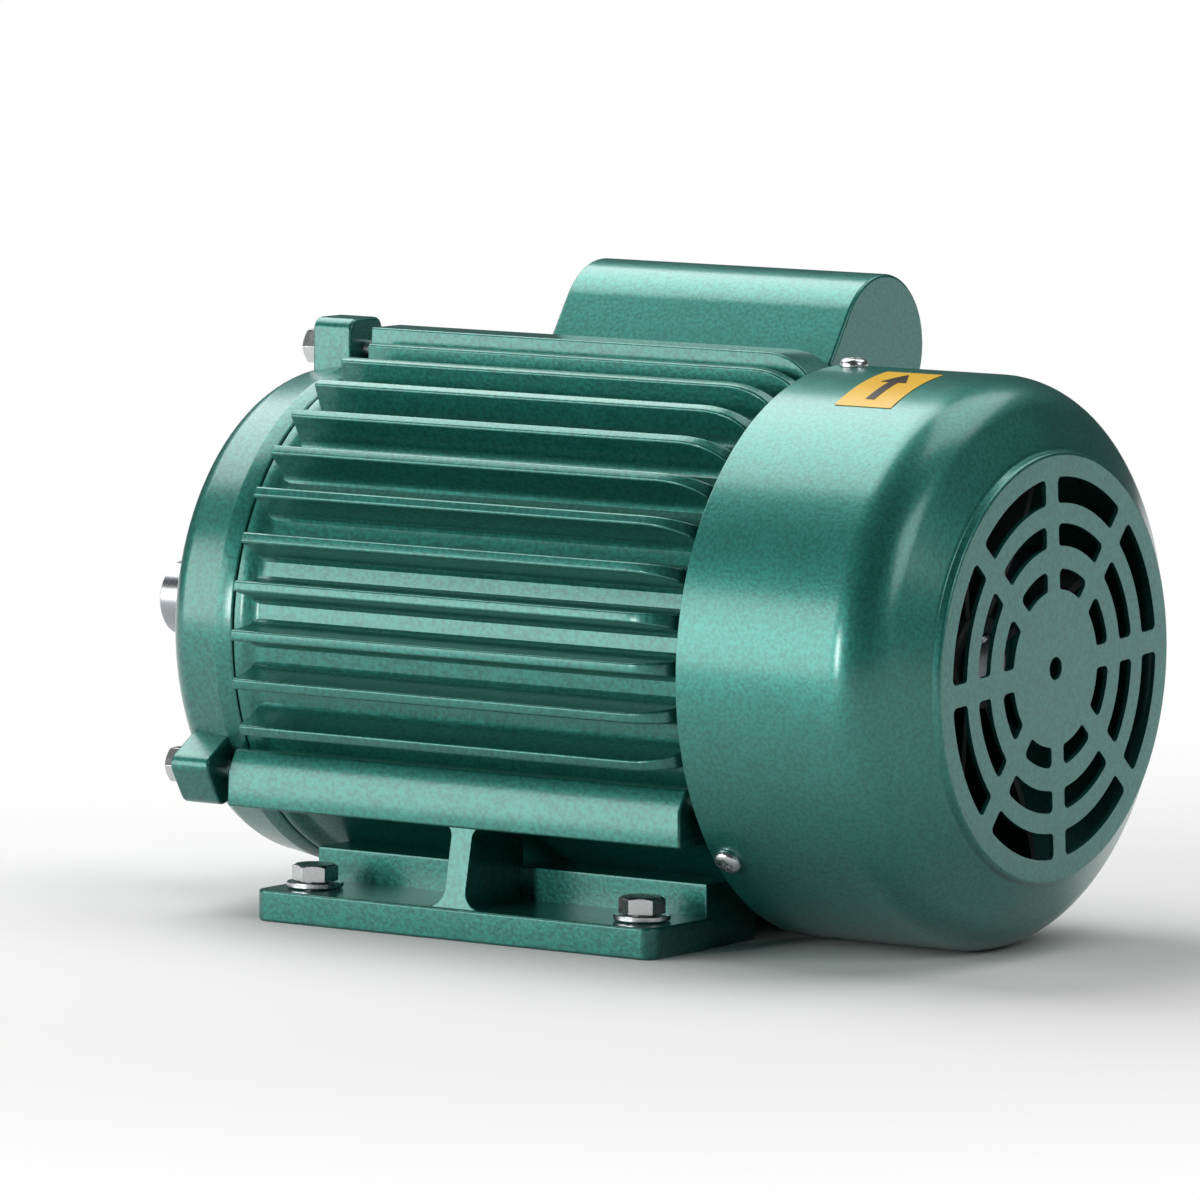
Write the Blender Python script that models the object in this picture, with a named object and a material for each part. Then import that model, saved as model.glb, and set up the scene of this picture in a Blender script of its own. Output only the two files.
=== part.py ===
"""Foot-mounted, fan-cooled single-phase induction motor, modelled piece by piece.

The X axis runs along the shaft towards the fan end, +Z is up, and the origin lies on the
mounting plane, midway between the four foot holes. Angles round the shaft are in degrees,
counted from the horizontal on the -Y side, up over the top.
"""

import math

import bmesh
import bpy
from mathutils import Matrix, Vector

MM = 0.001

# Clearances
FIT_GAP = 0.3 * MM
AIR_GAP = 0.5 * MM
WELD_DISTANCE = 0.001 * MM
SINK = 2.0 * MM
OVERSHOOT = 4.0 * MM
HOLE_SPARE = 2.0 * MM

# Mounting sizes: shaft height, hole spacings, foot and shaft extension
AXIS_HEIGHT = 90.0 * MM
FOOT_HOLE_SPAN = 140.0 * MM
FOOT_HOLE_PITCH = 125.0 * MM
FOOT_HOLE_RADIUS = 5.0 * MM
FOOT_WIDTH = 170.0 * MM
FOOT_LENGTH = 152.0 * MM
FOOT_THICKNESS = 10.0 * MM
FOOT_CORNER = 5.0 * MM
SHOULDER_TO_HOLE = 56.0 * MM
SHAFT_RADIUS = 12.0 * MM
SHAFT_EXTENSION = 50.0 * MM
SHAFT_CHAMFER = 1.0 * MM
KEY_WIDTH = 8.0 * MM
KEY_HEIGHT = 7.0 * MM
KEY_LENGTH = 36.0 * MM
KEY_SINK = 4.0 * MM
KEY_END_SPACE = 5.0 * MM

# Legs between the feet and the frame barrel
LEG_OUTER = 52.0 * MM
LEG_INNER = 24.0 * MM
LEG_HEIGHT = 20.5 * MM
LEG_END_INSET = 1.5 * MM
GUSSET_WIDTH = 8.0 * MM
GUSSET_FLARE = 6.0 * MM
GUSSET_TOP_INSET = 0.8 * MM
GUSSET_FOOT_INSET = 2.0 * MM

# Frame barrel with its fins and bolt rails
DRIVE_END_SPACE = 43.0 * MM
FAN_END_SPACE = 39.0 * MM
BORE_RADIUS = 72.8 * MM
BARREL_WALL = 5.2 * MM
FIN_HEIGHT = 12.0 * MM
FIN_PITCH = 10.0
FIN_PHASE = 0.5
FIN_TIP_THICKNESS = 3.4 * MM
FIN_ROOT_THICKNESS = 5.6 * MM
FIN_DRIVE_INSET = 2.0 * MM
FIN_FAN_INSET = 0.6 * MM
FIN_NOSE_LENGTH = 18.0 * MM
FIN_NOSE_STEP = 1.5 * MM
RAIL_ANGLES = (90.0, -31.0, 211.0)
RAIL_WIDTH = 16.0 * MM
TOP_RAIL_RISE = 3.2 * MM
RAIL_FACE_OFFSET = 5.7 * MM
RAIL_SHOULDER_OFFSET = 1.5 * MM
RAIL_TOP_OFFSET = 6.8 * MM
RAIL_BOTTOM_DROP = 11.4 * MM
RAIL_DRIVE_INSET = 1.2 * MM
RAIL_FAN_INSET = 2.0 * MM
RAIL_CLEAR_TURN = 6.0

# Bolts that hold the end shields to the rails
DRIVE_BOLT_OFFSET = 7.5 * MM
FAN_BOLT_OFFSET = 2.0 * MM
SHIELD_BOLT_SHANK = 3.0 * MM
SHIELD_BOLT_HEAD = 5.6 * MM
SHIELD_BOLT_HEAD_HEIGHT = 4.2 * MM
SHIELD_BOLT_BITE = 24.0 * MM
BOLT_SIDES = 6
SCREW_SIDES = 8
HEAD_BROW_SHARE = 0.75
HEAD_TOP_SHARE = 0.8

# End shields
SPIGOT_LENGTH = 6.0 * MM
SPIGOT_WALL = 4.3 * MM
SHIELD_WALL = 6.5 * MM
DRIVE_FLANGE_WALL = 3.5 * MM
DRIVE_SHIELD_TAPER = 2.5 * MM
DRIVE_SHIELD_EDGE = 10.0 * MM
DRIVE_SHIELD_DISH = 1.5 * MM
SHIELD_FACE_INSET = 0.5 * MM
HUB_WALL = 7.5 * MM
HUB_LIP = 5.5 * MM
HUB_CHAMFER = 2.0 * MM
EAR_WIDTH = 18.0 * MM
EAR_LENGTH = 15.0 * MM
EAR_GAP = 6.0 * MM
EAR_CORNER = 3.0 * MM
EAR_EDGE = 10.0 * MM
FAN_EAR_LENGTH = 11.0 * MM
FAN_FLANGE_WALL = 2.0 * MM
SHAFT_CLEARANCE = 1.0 * MM
POST_RADIUS = 3.5 * MM
POST_PLACE = 38.0 * MM
POST_ANGLES = (60.0, 300.0)

# Ball bearings: bore, outside, width, ball and number of balls
DRIVE_BEARING_BORE = 12.5 * MM
DRIVE_BEARING_OUTSIDE = 26.0 * MM
DRIVE_BEARING_WIDTH = 15.0 * MM
DRIVE_BALL_RADIUS = 3.9 * MM
FAN_BEARING_BORE = 10.0 * MM
FAN_BEARING_OUTSIDE = 23.5 * MM
FAN_BEARING_WIDTH = 14.0 * MM
FAN_BALL_RADIUS = 3.9 * MM
BALL_COUNT = 8
BALL_GAP = 0.6 * MM
RACE_DEPTH = 1.0 * MM
CAGE_WALL = 1.8 * MM
CAGE_RIM = 1.2 * MM
WAVE_HEIGHT = 0.8 * MM
WAVE_COUNT = 3
WAVE_SHEET = 0.5 * MM

# Stator, rotor and their winding
CORE_HALF_LENGTH = 45.0 * MM
ROTOR_RADIUS = 39.8 * MM
SLOT_COUNT = 24
SLOT_MOUTH = 3.0 * MM
SLOT_LIP = 1.5 * MM
SLOT_WIDTH = 6.0 * MM
SLOT_DEPTH = 16.0 * MM
WINDING_OVERHANG = 22.0 * MM
WINDING_INNER = 47.0 * MM
WINDING_OUTER = 67.0 * MM
ROTOR_SEAT_RADIUS = 14.0 * MM
ROTOR_BARS = 12
ROTOR_BAR_RADIUS = 2.1 * MM
ROTOR_BAR_PLACE = 34.5 * MM
END_RING_INNER = 24.0 * MM
END_RING_OUTER = 38.5 * MM
END_RING_WIDTH = 9.0 * MM
END_RING_EDGE = 1.0 * MM
END_RING_VANE = 3.5 * MM
END_RING_VANE_SHEET = 2.0 * MM
END_RING_VANES = 8
SHAFT_COLLAR_RADIUS = 15.5 * MM
SHAFT_COLLAR_WIDTH = 4.0 * MM
SEAL_RADIUS = 18.0 * MM
SEAL_WIDTH = 4.0 * MM
SEAL_LIP = 1.2 * MM

# Start switch on the shaft
CARRIER_SPACE = 1.5 * MM
CARRIER_WIDTH = 5.0 * MM
CARRIER_RADIUS = 22.0 * MM
WEIGHT_ANGLES = (90.0, 270.0)
WEIGHT_PIVOT_RADIUS = 28.0 * MM
WEIGHT_EAR_WIDTH = 6.0 * MM
WEIGHT_WALL = 3.0 * MM
WEIGHT_LENGTH = 17.0 * MM
WEIGHT_BLOCK = 10.0 * MM
WEIGHT_THICKNESS = 6.0 * MM
PIVOT_PIN_RADIUS = 1.2 * MM
COLLAR_TRAVEL = 4.0 * MM
COLLAR_HUB_RADIUS = 17.0 * MM
COLLAR_FLANGE_RADIUS = 24.0 * MM
COLLAR_FLANGE = 2.5 * MM
COLLAR_LENGTH = 6.0 * MM
SPRING_WIRE = 0.5 * MM
SPRING_TURNS = 3
SWITCH_SHAFT_RADIUS = 12.5 * MM
CONTACT_ARM_THICKNESS = 1.5 * MM
CONTACT_ARM_WIDTH = 8.0 * MM
CONTACT_ARM_TIP = 19.0 * MM
CONTACT_PIVOT_RADIUS = 40.0 * MM
CONTACT_ANGLE = 180.0
SWITCH_PLATE_INNER = 27.0 * MM
SWITCH_PLATE_OUTER = 46.0 * MM
SWITCH_PLATE_SHEET = 1.8 * MM
SWITCH_CHEEK = 3.0 * MM

# Fan and its cowl
FAN_RADIUS = 75.0 * MM
FAN_HUB_RADIUS = 17.0 * MM
FAN_HUB_LENGTH = 28.0 * MM
FAN_HUB_TAPER = 2.0 * MM
FAN_DISC_RADIUS = 48.0 * MM
FAN_DISC_SHEET = 2.5 * MM
FAN_BLADES = 8
FAN_BLADE_LENGTH = 32.0 * MM
FAN_BLADE_SHEET = 2.5 * MM
FAN_BLADE_BEVEL = 8.0 * MM
FAN_SEAT_RADIUS = 9.0 * MM
FAN_SPACE = 2.0 * MM
CLIP_DEPTH = 1.0 * MM
CLIP_WIDTH = 1.2 * MM
CLIP_RADIUS = 12.0 * MM
CLIP_MOUTH = 5.0 * MM
COWL_SHEET = 1.5 * MM
COWL_STEP = 0.3 * MM
COWL_RIM_GAP = 3.0 * MM
COWL_LENGTH = 81.5 * MM
COWL_SHOULDER_RADIUS = 19.0 * MM
COWL_SHOULDER_TURN = 60.0
GRILLE_STEP = 2.2 * MM
GRILLE_RADIUS = 66.5 * MM
GRILLE_RINGS = ((24.5 * MM, 31.0 * MM), (38.0 * MM, 45.0 * MM), (51.3 * MM, 59.5 * MM))
GRILLE_SECTORS = 8
GRILLE_TURN = -3.8
GRILLE_SPOKE = 7.0 * MM
GRILLE_CORNER = 1.6 * MM
GRILLE_HOLE = 3.8 * MM
COWL_SCREW_ANGLES = (90.0, -41.0, 221.0)
COWL_SCREW_INSET = 6.0 * MM
COWL_SCREW_SHANK = 2.0 * MM
COWL_SCREW_HEAD = 4.4 * MM
COWL_SCREW_HEAD_HEIGHT = 2.6 * MM
COWL_SCREW_BITE = 3.0 * MM
COWL_LUG_WIDTH = 10.0 * MM

# Capacitor under its cover, on a seat high on the +Y side
CAP_ANGLE = 124.0
CAP_SEAT = 86.0 * MM
CAP_SEAT_MARGIN = 3.0 * MM
CAP_COVER_RADIUS = 24.0 * MM
CAP_COVER_CENTRE = 108.5 * MM
CAP_COVER_LENGTH = 109.0 * MM
CAP_COVER_INSET = 19.0 * MM
CAP_COVER_SHEET = 1.5 * MM
CAP_TAB_LENGTH = 11.0 * MM
CAP_TAB_WIDTH = 18.0 * MM
CAP_TAB_SIDE = -9.0 * MM
CAP_GASKET_SHEET = 1.5 * MM
CAP_GASKET_RIM = 4.0 * MM
CAP_RADIUS = 18.5 * MM
CAP_LENGTH = 68.0 * MM
CAP_FAN_SPACE = 4.0 * MM
CAP_EDGE = 1.5 * MM
CAP_BLADE_HEIGHT = 6.0 * MM
CAP_BLADE_WIDTH = 6.3 * MM
CAP_BLADE_SHEET = 0.8 * MM
CAP_BLADE_SPREAD = 9.0 * MM
CLAMP_SHEET = 1.0 * MM
CLAMP_WIDTH = 14.0 * MM
CLAMP_FOOT = 7.0 * MM
COVER_SCREW_SHANK = 2.0 * MM
COVER_SCREW_HEAD = 3.8 * MM
COVER_SCREW_HEAD_HEIGHT = 2.4 * MM
COVER_SCREW_BITE = 7.0 * MM
WIRE_HOLE_RADIUS = 5.5 * MM
WIRE_HOLE_INSET = 9.0 * MM
TERMINAL_WIDTH = 30.0 * MM
TERMINAL_LENGTH = 14.0 * MM
TERMINAL_HEIGHT = 10.0 * MM
TERMINAL_RIB = 2.0 * MM
TERMINAL_RIB_HEIGHT = 4.0 * MM
TERMINAL_WAYS = 3
TERMINAL_SPACE = 3.0 * MM

# Cable gland through the drive-end wall of the cover
GLAND_CENTRE = 101.0 * MM
GLAND_SIDE = 9.0 * MM
GLAND_BORE = 5.2 * MM
GLAND_THREAD = 7.8 * MM
GLAND_HEX = 11.0 * MM
GLAND_HEX_HEIGHT = 6.0 * MM
GLAND_CAP = 9.4 * MM
GLAND_CAP_LENGTH = 12.0 * MM
GLAND_CHAMFER = 2.0 * MM
GLAND_NUT_HEIGHT = 3.5 * MM
GLAND_NUT = 11.0 * MM
GLAND_TAIL = 3.0 * MM

# Hold-down bolts
FOOT_BOLT_SHANK = 4.0 * MM
FOOT_BOLT_HEAD = 7.4 * MM
FOOT_BOLT_HEAD_HEIGHT = 5.3 * MM
FOOT_BOLT_CLEARANCE = 1.0 * MM
WASHER_RADIUS = 9.0 * MM
WASHER_SHEET = 1.8 * MM

# Facets round each kind of turned piece
STEPS_BARREL = 36
STEPS_COWL = 30
STEPS_CORE = 24
STEPS_SHIELD = 24
STEPS_SHAFT = 16
STEPS_SMALL = 12
STEPS_WAVE = 8
STEPS_PIN = 6
STEPS_ARC = 4
SHARP_EDGE = 35.0
FLAT_LIMIT = 0.2

# Sizes that follow from the ones above
FRAME_DRIVE_FACE = -CORE_HALF_LENGTH - DRIVE_END_SPACE
FRAME_FAN_FACE = CORE_HALF_LENGTH + FAN_END_SPACE
BARREL_RADIUS = BORE_RADIUS + BARREL_WALL
FIN_TIP_RADIUS = BARREL_RADIUS + FIN_HEIGHT
TOP_RAIL_RADIUS = FIN_TIP_RADIUS + TOP_RAIL_RISE
DRIVE_BOLT_RADIUS = BARREL_RADIUS + DRIVE_BOLT_OFFSET
FAN_BOLT_RADIUS = BARREL_RADIUS + FAN_BOLT_OFFSET
DRIVE_FLANGE_RADIUS = BARREL_RADIUS + DRIVE_FLANGE_WALL
SHAFT_SHOULDER = -FOOT_HOLE_PITCH / 2 - SHOULDER_TO_HOLE
SHAFT_DRIVE_END = SHAFT_SHOULDER - SHAFT_EXTENSION
DRIVE_SHIELD_FACE = SHAFT_SHOULDER + SHIELD_FACE_INSET
DRIVE_SEAT_BOTTOM = DRIVE_SHIELD_FACE + HUB_LIP
DRIVE_BEARING_START = DRIVE_SEAT_BOTTOM + FIT_GAP
DRIVE_BEARING_END = DRIVE_BEARING_START + DRIVE_BEARING_WIDTH
SPIGOT_RADIUS = BORE_RADIUS - FIT_GAP
SPIGOT_INNER = SPIGOT_RADIUS - SPIGOT_WALL
FAN_FLANGE_RADIUS = BARREL_RADIUS + FAN_FLANGE_WALL
FAN_SHIELD_START = FRAME_FAN_FACE + FIT_GAP
FAN_BEARING_START = FAN_SHIELD_START + FIT_GAP + HUB_LIP
FAN_BEARING_END = FAN_BEARING_START + FAN_BEARING_WIDTH
WAVE_SPACE = WAVE_HEIGHT + WAVE_SHEET + 2 * FIT_GAP
FAN_SEAT_BOTTOM = FAN_BEARING_END + WAVE_SPACE
FAN_SHIELD_FACE = FAN_SEAT_BOTTOM + HUB_LIP
FAN_WALL_OUTER = FAN_SHIELD_START + FAN_EAR_LENGTH
FAN_WALL_INNER = FAN_WALL_OUTER - SHIELD_WALL
FAN_START = FAN_SHIELD_FACE + FAN_SPACE
FAN_HUB_END = FAN_START + FAN_HUB_LENGTH
CLIP_START = FAN_HUB_END + FIT_GAP
CLIP_END = CLIP_START + CLIP_WIDTH
SHAFT_FAN_END = CLIP_END + FAN_SPACE
COWL_RADIUS = FIN_TIP_RADIUS - COWL_STEP
COWL_INNER = COWL_RADIUS - COWL_SHEET
COWL_RIM = FRAME_FAN_FACE + COWL_RIM_GAP
COWL_FACE = COWL_RIM + COWL_LENGTH
COWL_SCREW_X = COWL_RIM + COWL_SCREW_INSET
STATOR_BORE = ROTOR_RADIUS + AIR_GAP
STATOR_OUTER = BORE_RADIUS - FIT_GAP
WINDING_REACH = CORE_HALF_LENGTH + WINDING_OVERHANG
END_RING_START = CORE_HALF_LENGTH + FIT_GAP
END_RING_END = END_RING_START + END_RING_WIDTH
VANE_END = END_RING_END + END_RING_VANE
CARRIER_START = VANE_END + CARRIER_SPACE
CARRIER_END = CARRIER_START + CARRIER_WIDTH
WEIGHT_PIVOT_X = CARRIER_START + CARRIER_WIDTH / 2
CONTACT_ARM_END = FAN_WALL_INNER - HUB_LIP - SWITCH_PLATE_SHEET - 2 * FIT_GAP
CONTACT_ARM_START = CONTACT_ARM_END - CONTACT_ARM_THICKNESS
CONTACT_PIVOT_X = CONTACT_ARM_END - CONTACT_ARM_THICKNESS / 2
SWITCH_PLATE_START = CONTACT_ARM_END + FIT_GAP
SWITCH_PLATE_END = SWITCH_PLATE_START + SWITCH_PLATE_SHEET
COLLAR_END = CONTACT_ARM_START - FIT_GAP
COLLAR_START = COLLAR_END - COLLAR_LENGTH
COLLAR_BORE = SWITCH_SHAFT_RADIUS + FIT_GAP
CAP_COVER_FAN_END = FRAME_FAN_FACE - CAP_COVER_INSET
CAP_COVER_DRIVE_END = CAP_COVER_FAN_END - CAP_COVER_LENGTH
CAP_WALL_INNER = CAP_COVER_RADIUS - CAP_COVER_SHEET
CAP_GASKET_START = CAP_SEAT + FIT_GAP
CAP_COVER_START = CAP_GASKET_START + CAP_GASKET_SHEET + FIT_GAP
CAP_CENTRE = CAP_SEAT + FIT_GAP + CLAMP_SHEET + FIT_GAP + CAP_RADIUS
CAP_FAN_FACE = CAP_COVER_FAN_END - CAP_COVER_SHEET - CAP_FAN_SPACE
CAP_DRIVE_FACE = CAP_FAN_FACE - CAP_LENGTH
CAP_TAB_REACH = CAP_TAB_LENGTH + CAP_SEAT_MARGIN
COVER_SCREW_PLACES = (
    CAP_COVER_DRIVE_END - CAP_TAB_LENGTH / 2,
    CAP_COVER_FAN_END + CAP_TAB_LENGTH / 2,
)
WIRE_HOLE_X = CAP_COVER_FAN_END - WIRE_HOLE_INSET
GLAND_FACE = CAP_COVER_DRIVE_END - FIT_GAP
GLAND_NUT_START = CAP_COVER_DRIVE_END + CAP_COVER_SHEET + FIT_GAP
GLAND_NUT_END = GLAND_NUT_START + GLAND_NUT_HEIGHT
GLAND_END = GLAND_NUT_END + GLAND_TAIL
TERMINAL_START = GLAND_END + TERMINAL_SPACE
PLATE_TOP = FOOT_THICKNESS - AXIS_HEIGHT

# Finishes: colour, roughness and metallic value
GREEN_ENAMEL = ((0.022, 0.200, 0.140), 0.35, 0.0)
ZINC = ((0.72, 0.72, 0.70), 0.30, 1.0)
STEEL = ((0.45, 0.45, 0.46), 0.35, 1.0)
BALL_STEEL = ((0.60, 0.60, 0.62), 0.15, 1.0)
SPRING_STEEL = ((0.30, 0.30, 0.32), 0.40, 1.0)
CORE_STEEL = ((0.18, 0.18, 0.19), 0.55, 0.8)
COPPER = ((0.56, 0.22, 0.08), 0.40, 0.7)
ALUMINIUM = ((0.62, 0.63, 0.65), 0.45, 1.0)
BLACK_PLASTIC = ((0.012, 0.012, 0.013), 0.50, 0.0)
BROWN_BOARD = ((0.20, 0.09, 0.04), 0.60, 0.0)
RUBBER = ((0.02, 0.02, 0.02), 0.80, 0.0)
BRASS = ((0.70, 0.50, 0.20), 0.35, 1.0)


def clear_scene():
    """An empty scene to build in."""
    for old in list(bpy.data.objects):
        bpy.data.objects.remove(old, do_unlink=True)


def empty(name, place):
    """A point that pieces hang on."""
    point = bpy.data.objects.new(name, None)
    point.location = place
    bpy.context.scene.collection.objects.link(point)
    return point


def polar(x, radius, angle, across=0.0):
    """A point at a radius and angle round the shaft, moved sideways along the turning direction."""
    turn = math.radians(angle)
    y = -radius * math.cos(turn) + across * math.sin(turn)
    z = radius * math.sin(turn) + across * math.cos(turn)
    return Vector((x, y, z))


def arc(centre, radius, start, end, steps):
    """Points along an arc in a plane, from one angle to another."""
    points = []
    for step in range(steps + 1):
        turn = math.radians(start + (end - start) * step / steps)
        point = (centre[0] + radius * math.cos(turn), centre[1] + radius * math.sin(turn))
        points.append(point)
    return points


def ring(start, end, radius, sides, flats=False):
    """A circle of points square to a line; with flats its points alternate as on a hexagon."""
    turn = (end - start).to_track_quat("Z", "Y")
    points = []
    for side in range(sides):
        angle = 2 * math.pi * side / sides
        reach = radius
        if flats and side % 2:
            reach = radius * math.cos(math.pi / 6)
        points.append(start + turn @ Vector((reach * math.cos(angle), reach * math.sin(angle), 0)))
    return points


def lofted(bm, rings):
    """A closed solid through rings of equally many points."""
    loops = [[bm.verts.new(point) for point in points] for points in rings]
    for lower, upper in zip(loops, loops[1:]):
        for here in range(len(lower)):
            after = (here + 1) % len(lower)
            bm.faces.new((lower[here], lower[after], upper[after], upper[here]))
    bm.faces.new(loops[0])
    bm.faces.new(loops[-1])


def rod(bm, start, end, radius, sides=STEPS_SMALL):
    """A round bar between two points."""
    beyond = end + (end - start)
    lofted(bm, [ring(start, end, radius, sides), ring(end, beyond, radius, sides)])


def along_x(bm, outline, start, end):
    """A solid with an outline of (y, z) points, drawn along the shaft."""
    lofted(bm, [[(x, y, z) for y, z in outline] for x in (start, end)])


def on_seat(bm, outline, start, end):
    """A solid with an outline of (across, height) points over the capacitor seat."""
    lofted(bm, [[polar(x, up, CAP_ANGLE, side) for side, up in outline] for x in (start, end)])


def seat_block(bm, x_range, across_range, height_range):
    """A block over the capacitor seat."""
    low, high = across_range
    bottom, top = height_range
    on_seat(bm, [(low, bottom), (high, bottom), (high, top), (low, top)], *x_range)


def radial_block(bm, angle, x_range, radius_range, width):
    """A block that stands out from the shaft at one angle."""
    low, high = radius_range
    half = width / 2
    corners = ((low, -half), (high, -half), (high, half), (low, half))
    lofted(bm, [[polar(x, reach, angle, side) for reach, side in corners] for x in x_range])


def turned(bm, outline, steps):
    """A solid turned round the shaft from (x, radius) points, a ring unless it starts on the axis."""
    points = [bm.verts.new((x, 0, radius)) for x, radius in outline]
    pairs = list(zip(points, points[1:]))
    if outline[0][1] > 0:
        pairs.append((points[-1], points[0]))
    edges = [bm.edges.new(pair) for pair in pairs]
    bmesh.ops.spin(
        bm,
        geom=points + edges,
        cent=(0, 0, 0),
        axis=(1, 0, 0),
        angle=2 * math.pi,
        steps=steps,
        use_merge=True,
    )
    bmesh.ops.remove_doubles(bm, verts=bm.verts, dist=WELD_DISTANCE)


def bolt(bm, seat, direction, head, shank, hexagonal=True):
    """A bolt or screw: head is (radius, height), shank is (radius, length), seat is under the head."""
    head_radius, head_height = head
    shank_radius, length = shank
    top = seat - direction * head_height
    brow = seat - direction * head_height * HEAD_BROW_SHARE
    foot = seat + direction * length
    sides = BOLT_SIDES if hexagonal else SCREW_SIDES
    rings = [
        ring(top, top + direction, head_radius * HEAD_TOP_SHARE, sides),
        ring(brow, brow + direction, head_radius, sides),
        ring(seat, seat + direction, head_radius, sides),
        ring(seat, seat + direction, shank_radius, sides),
        ring(foot, foot + direction, shank_radius, sides),
    ]
    lofted(bm, rings)


def finish_material(name, finish):
    """A material with one finish."""
    colour, roughness, metallic = finish
    material = bpy.data.materials.new(name)
    material.use_nodes = True
    shader = material.node_tree.nodes["Principled BSDF"]
    shader.inputs["Base Color"].default_value = (*colour, 1.0)
    shader.inputs["Roughness"].default_value = roughness
    shader.inputs["Metallic"].default_value = metallic
    return material


def mesh_of(name, draw):
    """A mesh from a function that draws into it, with its faces turned outwards."""
    bm = bmesh.new()
    draw(bm)
    bmesh.ops.remove_doubles(bm, verts=bm.verts, dist=WELD_DISTANCE)
    bmesh.ops.recalc_face_normals(bm, faces=bm.faces)
    mesh = bpy.data.meshes.new(name)
    bm.to_mesh(mesh)
    bm.free()
    return mesh


def merge_flats(mesh):
    """Neighbouring faces in one plane made into one face."""
    bm = bmesh.new()
    bm.from_mesh(mesh)
    bmesh.ops.dissolve_limit(bm, angle_limit=math.radians(FLAT_LIMIT), verts=bm.verts, edges=bm.edges)
    bm.to_mesh(mesh)
    bm.free()


def combine(obj, draw, operation):
    """The object joined with, or cut by, what a function draws."""
    tool = bpy.data.objects.new("tool", mesh_of("tool", draw))
    tool.parent = obj.parent
    bpy.context.scene.collection.objects.link(tool)
    modifier = obj.modifiers.new("shape", "BOOLEAN")
    modifier.operation = operation
    modifier.solver = "EXACT"
    modifier.object = tool
    bpy.context.view_layer.update()
    shaped = obj.evaluated_get(bpy.context.evaluated_depsgraph_get())
    mesh = bpy.data.meshes.new_from_object(shaped)
    obj.modifiers.remove(modifier)
    obj.data = mesh
    bpy.data.objects.remove(tool, do_unlink=True)


def piece(name, parent, finish, draw, joins=(), cuts=()):
    """A named piece on the shaft axis: drawn, then joined with some shapes and cut by others."""
    obj = bpy.data.objects.new(name, mesh_of(name, draw))
    bpy.context.scene.collection.objects.link(obj)
    obj.parent = parent
    for shape in joins:
        combine(obj, shape, "UNION")
    for shape in cuts:
        combine(obj, shape, "DIFFERENCE")
    merge_flats(obj.data)
    obj.data.materials.clear()
    obj.data.materials.append(finish_material(name, finish))
    obj.data.shade_smooth()
    obj.data.set_sharp_from_angle(angle=math.radians(SHARP_EDGE))
    return obj


def fin(bm, angle, tip_radius, thicknesses, drive_inset):
    """A radial fin, thinner at its tip, whose fan end is rounded off towards the barrel."""
    root_thickness, tip_thickness = thicknesses
    root = BARREL_RADIUS - SINK
    start = FRAME_DRIVE_FACE + drive_inset
    end = FRAME_FAN_FACE - FIN_FAN_INSET
    drop = tip_radius - BARREL_RADIUS - FIN_NOSE_STEP
    outline = [(start, root), (start, tip_radius)]
    for step in range(STEPS_ARC):
        turn = math.radians(90 * step / (STEPS_ARC - 1))
        x = end - FIN_NOSE_LENGTH * (1 - math.sin(turn))
        outline.append((x, tip_radius - drop * (1 - math.cos(turn))))
    outline.append((end, root))
    sides = []
    for side in (-0.5, 0.5):
        points = []
        for x, radius in outline:
            share = (radius - root) / (tip_radius - root)
            thickness = root_thickness + (tip_thickness - root_thickness) * share
            points.append(polar(x, radius, angle, side * thickness))
        sides.append(points)
    lofted(bm, sides)


def fin_angles():
    """Fin places: all round, except on the rails, under the frame and under the capacitor seat."""
    seat_reach = CAP_COVER_RADIUS + CAP_SEAT_MARGIN
    seat_turn = math.degrees(math.asin(seat_reach / FIN_TIP_RADIUS))
    places = []
    for count in range(round(360 / FIN_PITCH)):
        angle = FIN_PHASE + FIN_PITCH * count - 90
        lowest = RAIL_ANGLES[1]
        highest = RAIL_ANGLES[2]
        on_rail = any(abs(angle - rail) < RAIL_CLEAR_TURN for rail in RAIL_ANGLES)
        under_seat = abs(angle - CAP_ANGLE) < seat_turn
        if lowest < angle < highest and not on_rail and not under_seat:
            places.append(angle)
    return places


def fins(bm):
    for angle in fin_angles():
        fin(bm, angle, FIN_TIP_RADIUS, (FIN_ROOT_THICKNESS, FIN_TIP_THICKNESS), FIN_DRIVE_INSET)


def rails(bm):
    """The bolt rails: one on top, and one low on each side with a flat upright face."""
    fin(bm, RAIL_ANGLES[0], TOP_RAIL_RADIUS, (RAIL_WIDTH, RAIL_WIDTH), RAIL_DRIVE_INSET)
    bolt_place = polar(0, DRIVE_BOLT_RADIUS, RAIL_ANGLES[1])
    face = bolt_place.y - RAIL_FACE_OFFSET
    top = bolt_place.z + RAIL_TOP_OFFSET
    bottom = bolt_place.z - RAIL_BOTTOM_DROP
    root = BARREL_RADIUS - SINK
    outline = [
        (face, bottom),
        (face, bolt_place.z),
        (bolt_place.y - RAIL_SHOULDER_OFFSET, top),
        (-math.sqrt(root**2 - top**2), top),
        (-math.sqrt(root**2 - bottom**2), bottom),
    ]
    start = FRAME_DRIVE_FACE + RAIL_DRIVE_INSET
    for side in (1, -1):
        along_x(bm, [(side * y, z) for y, z in outline], start, FRAME_FAN_FACE - RAIL_FAN_INSET)


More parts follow.
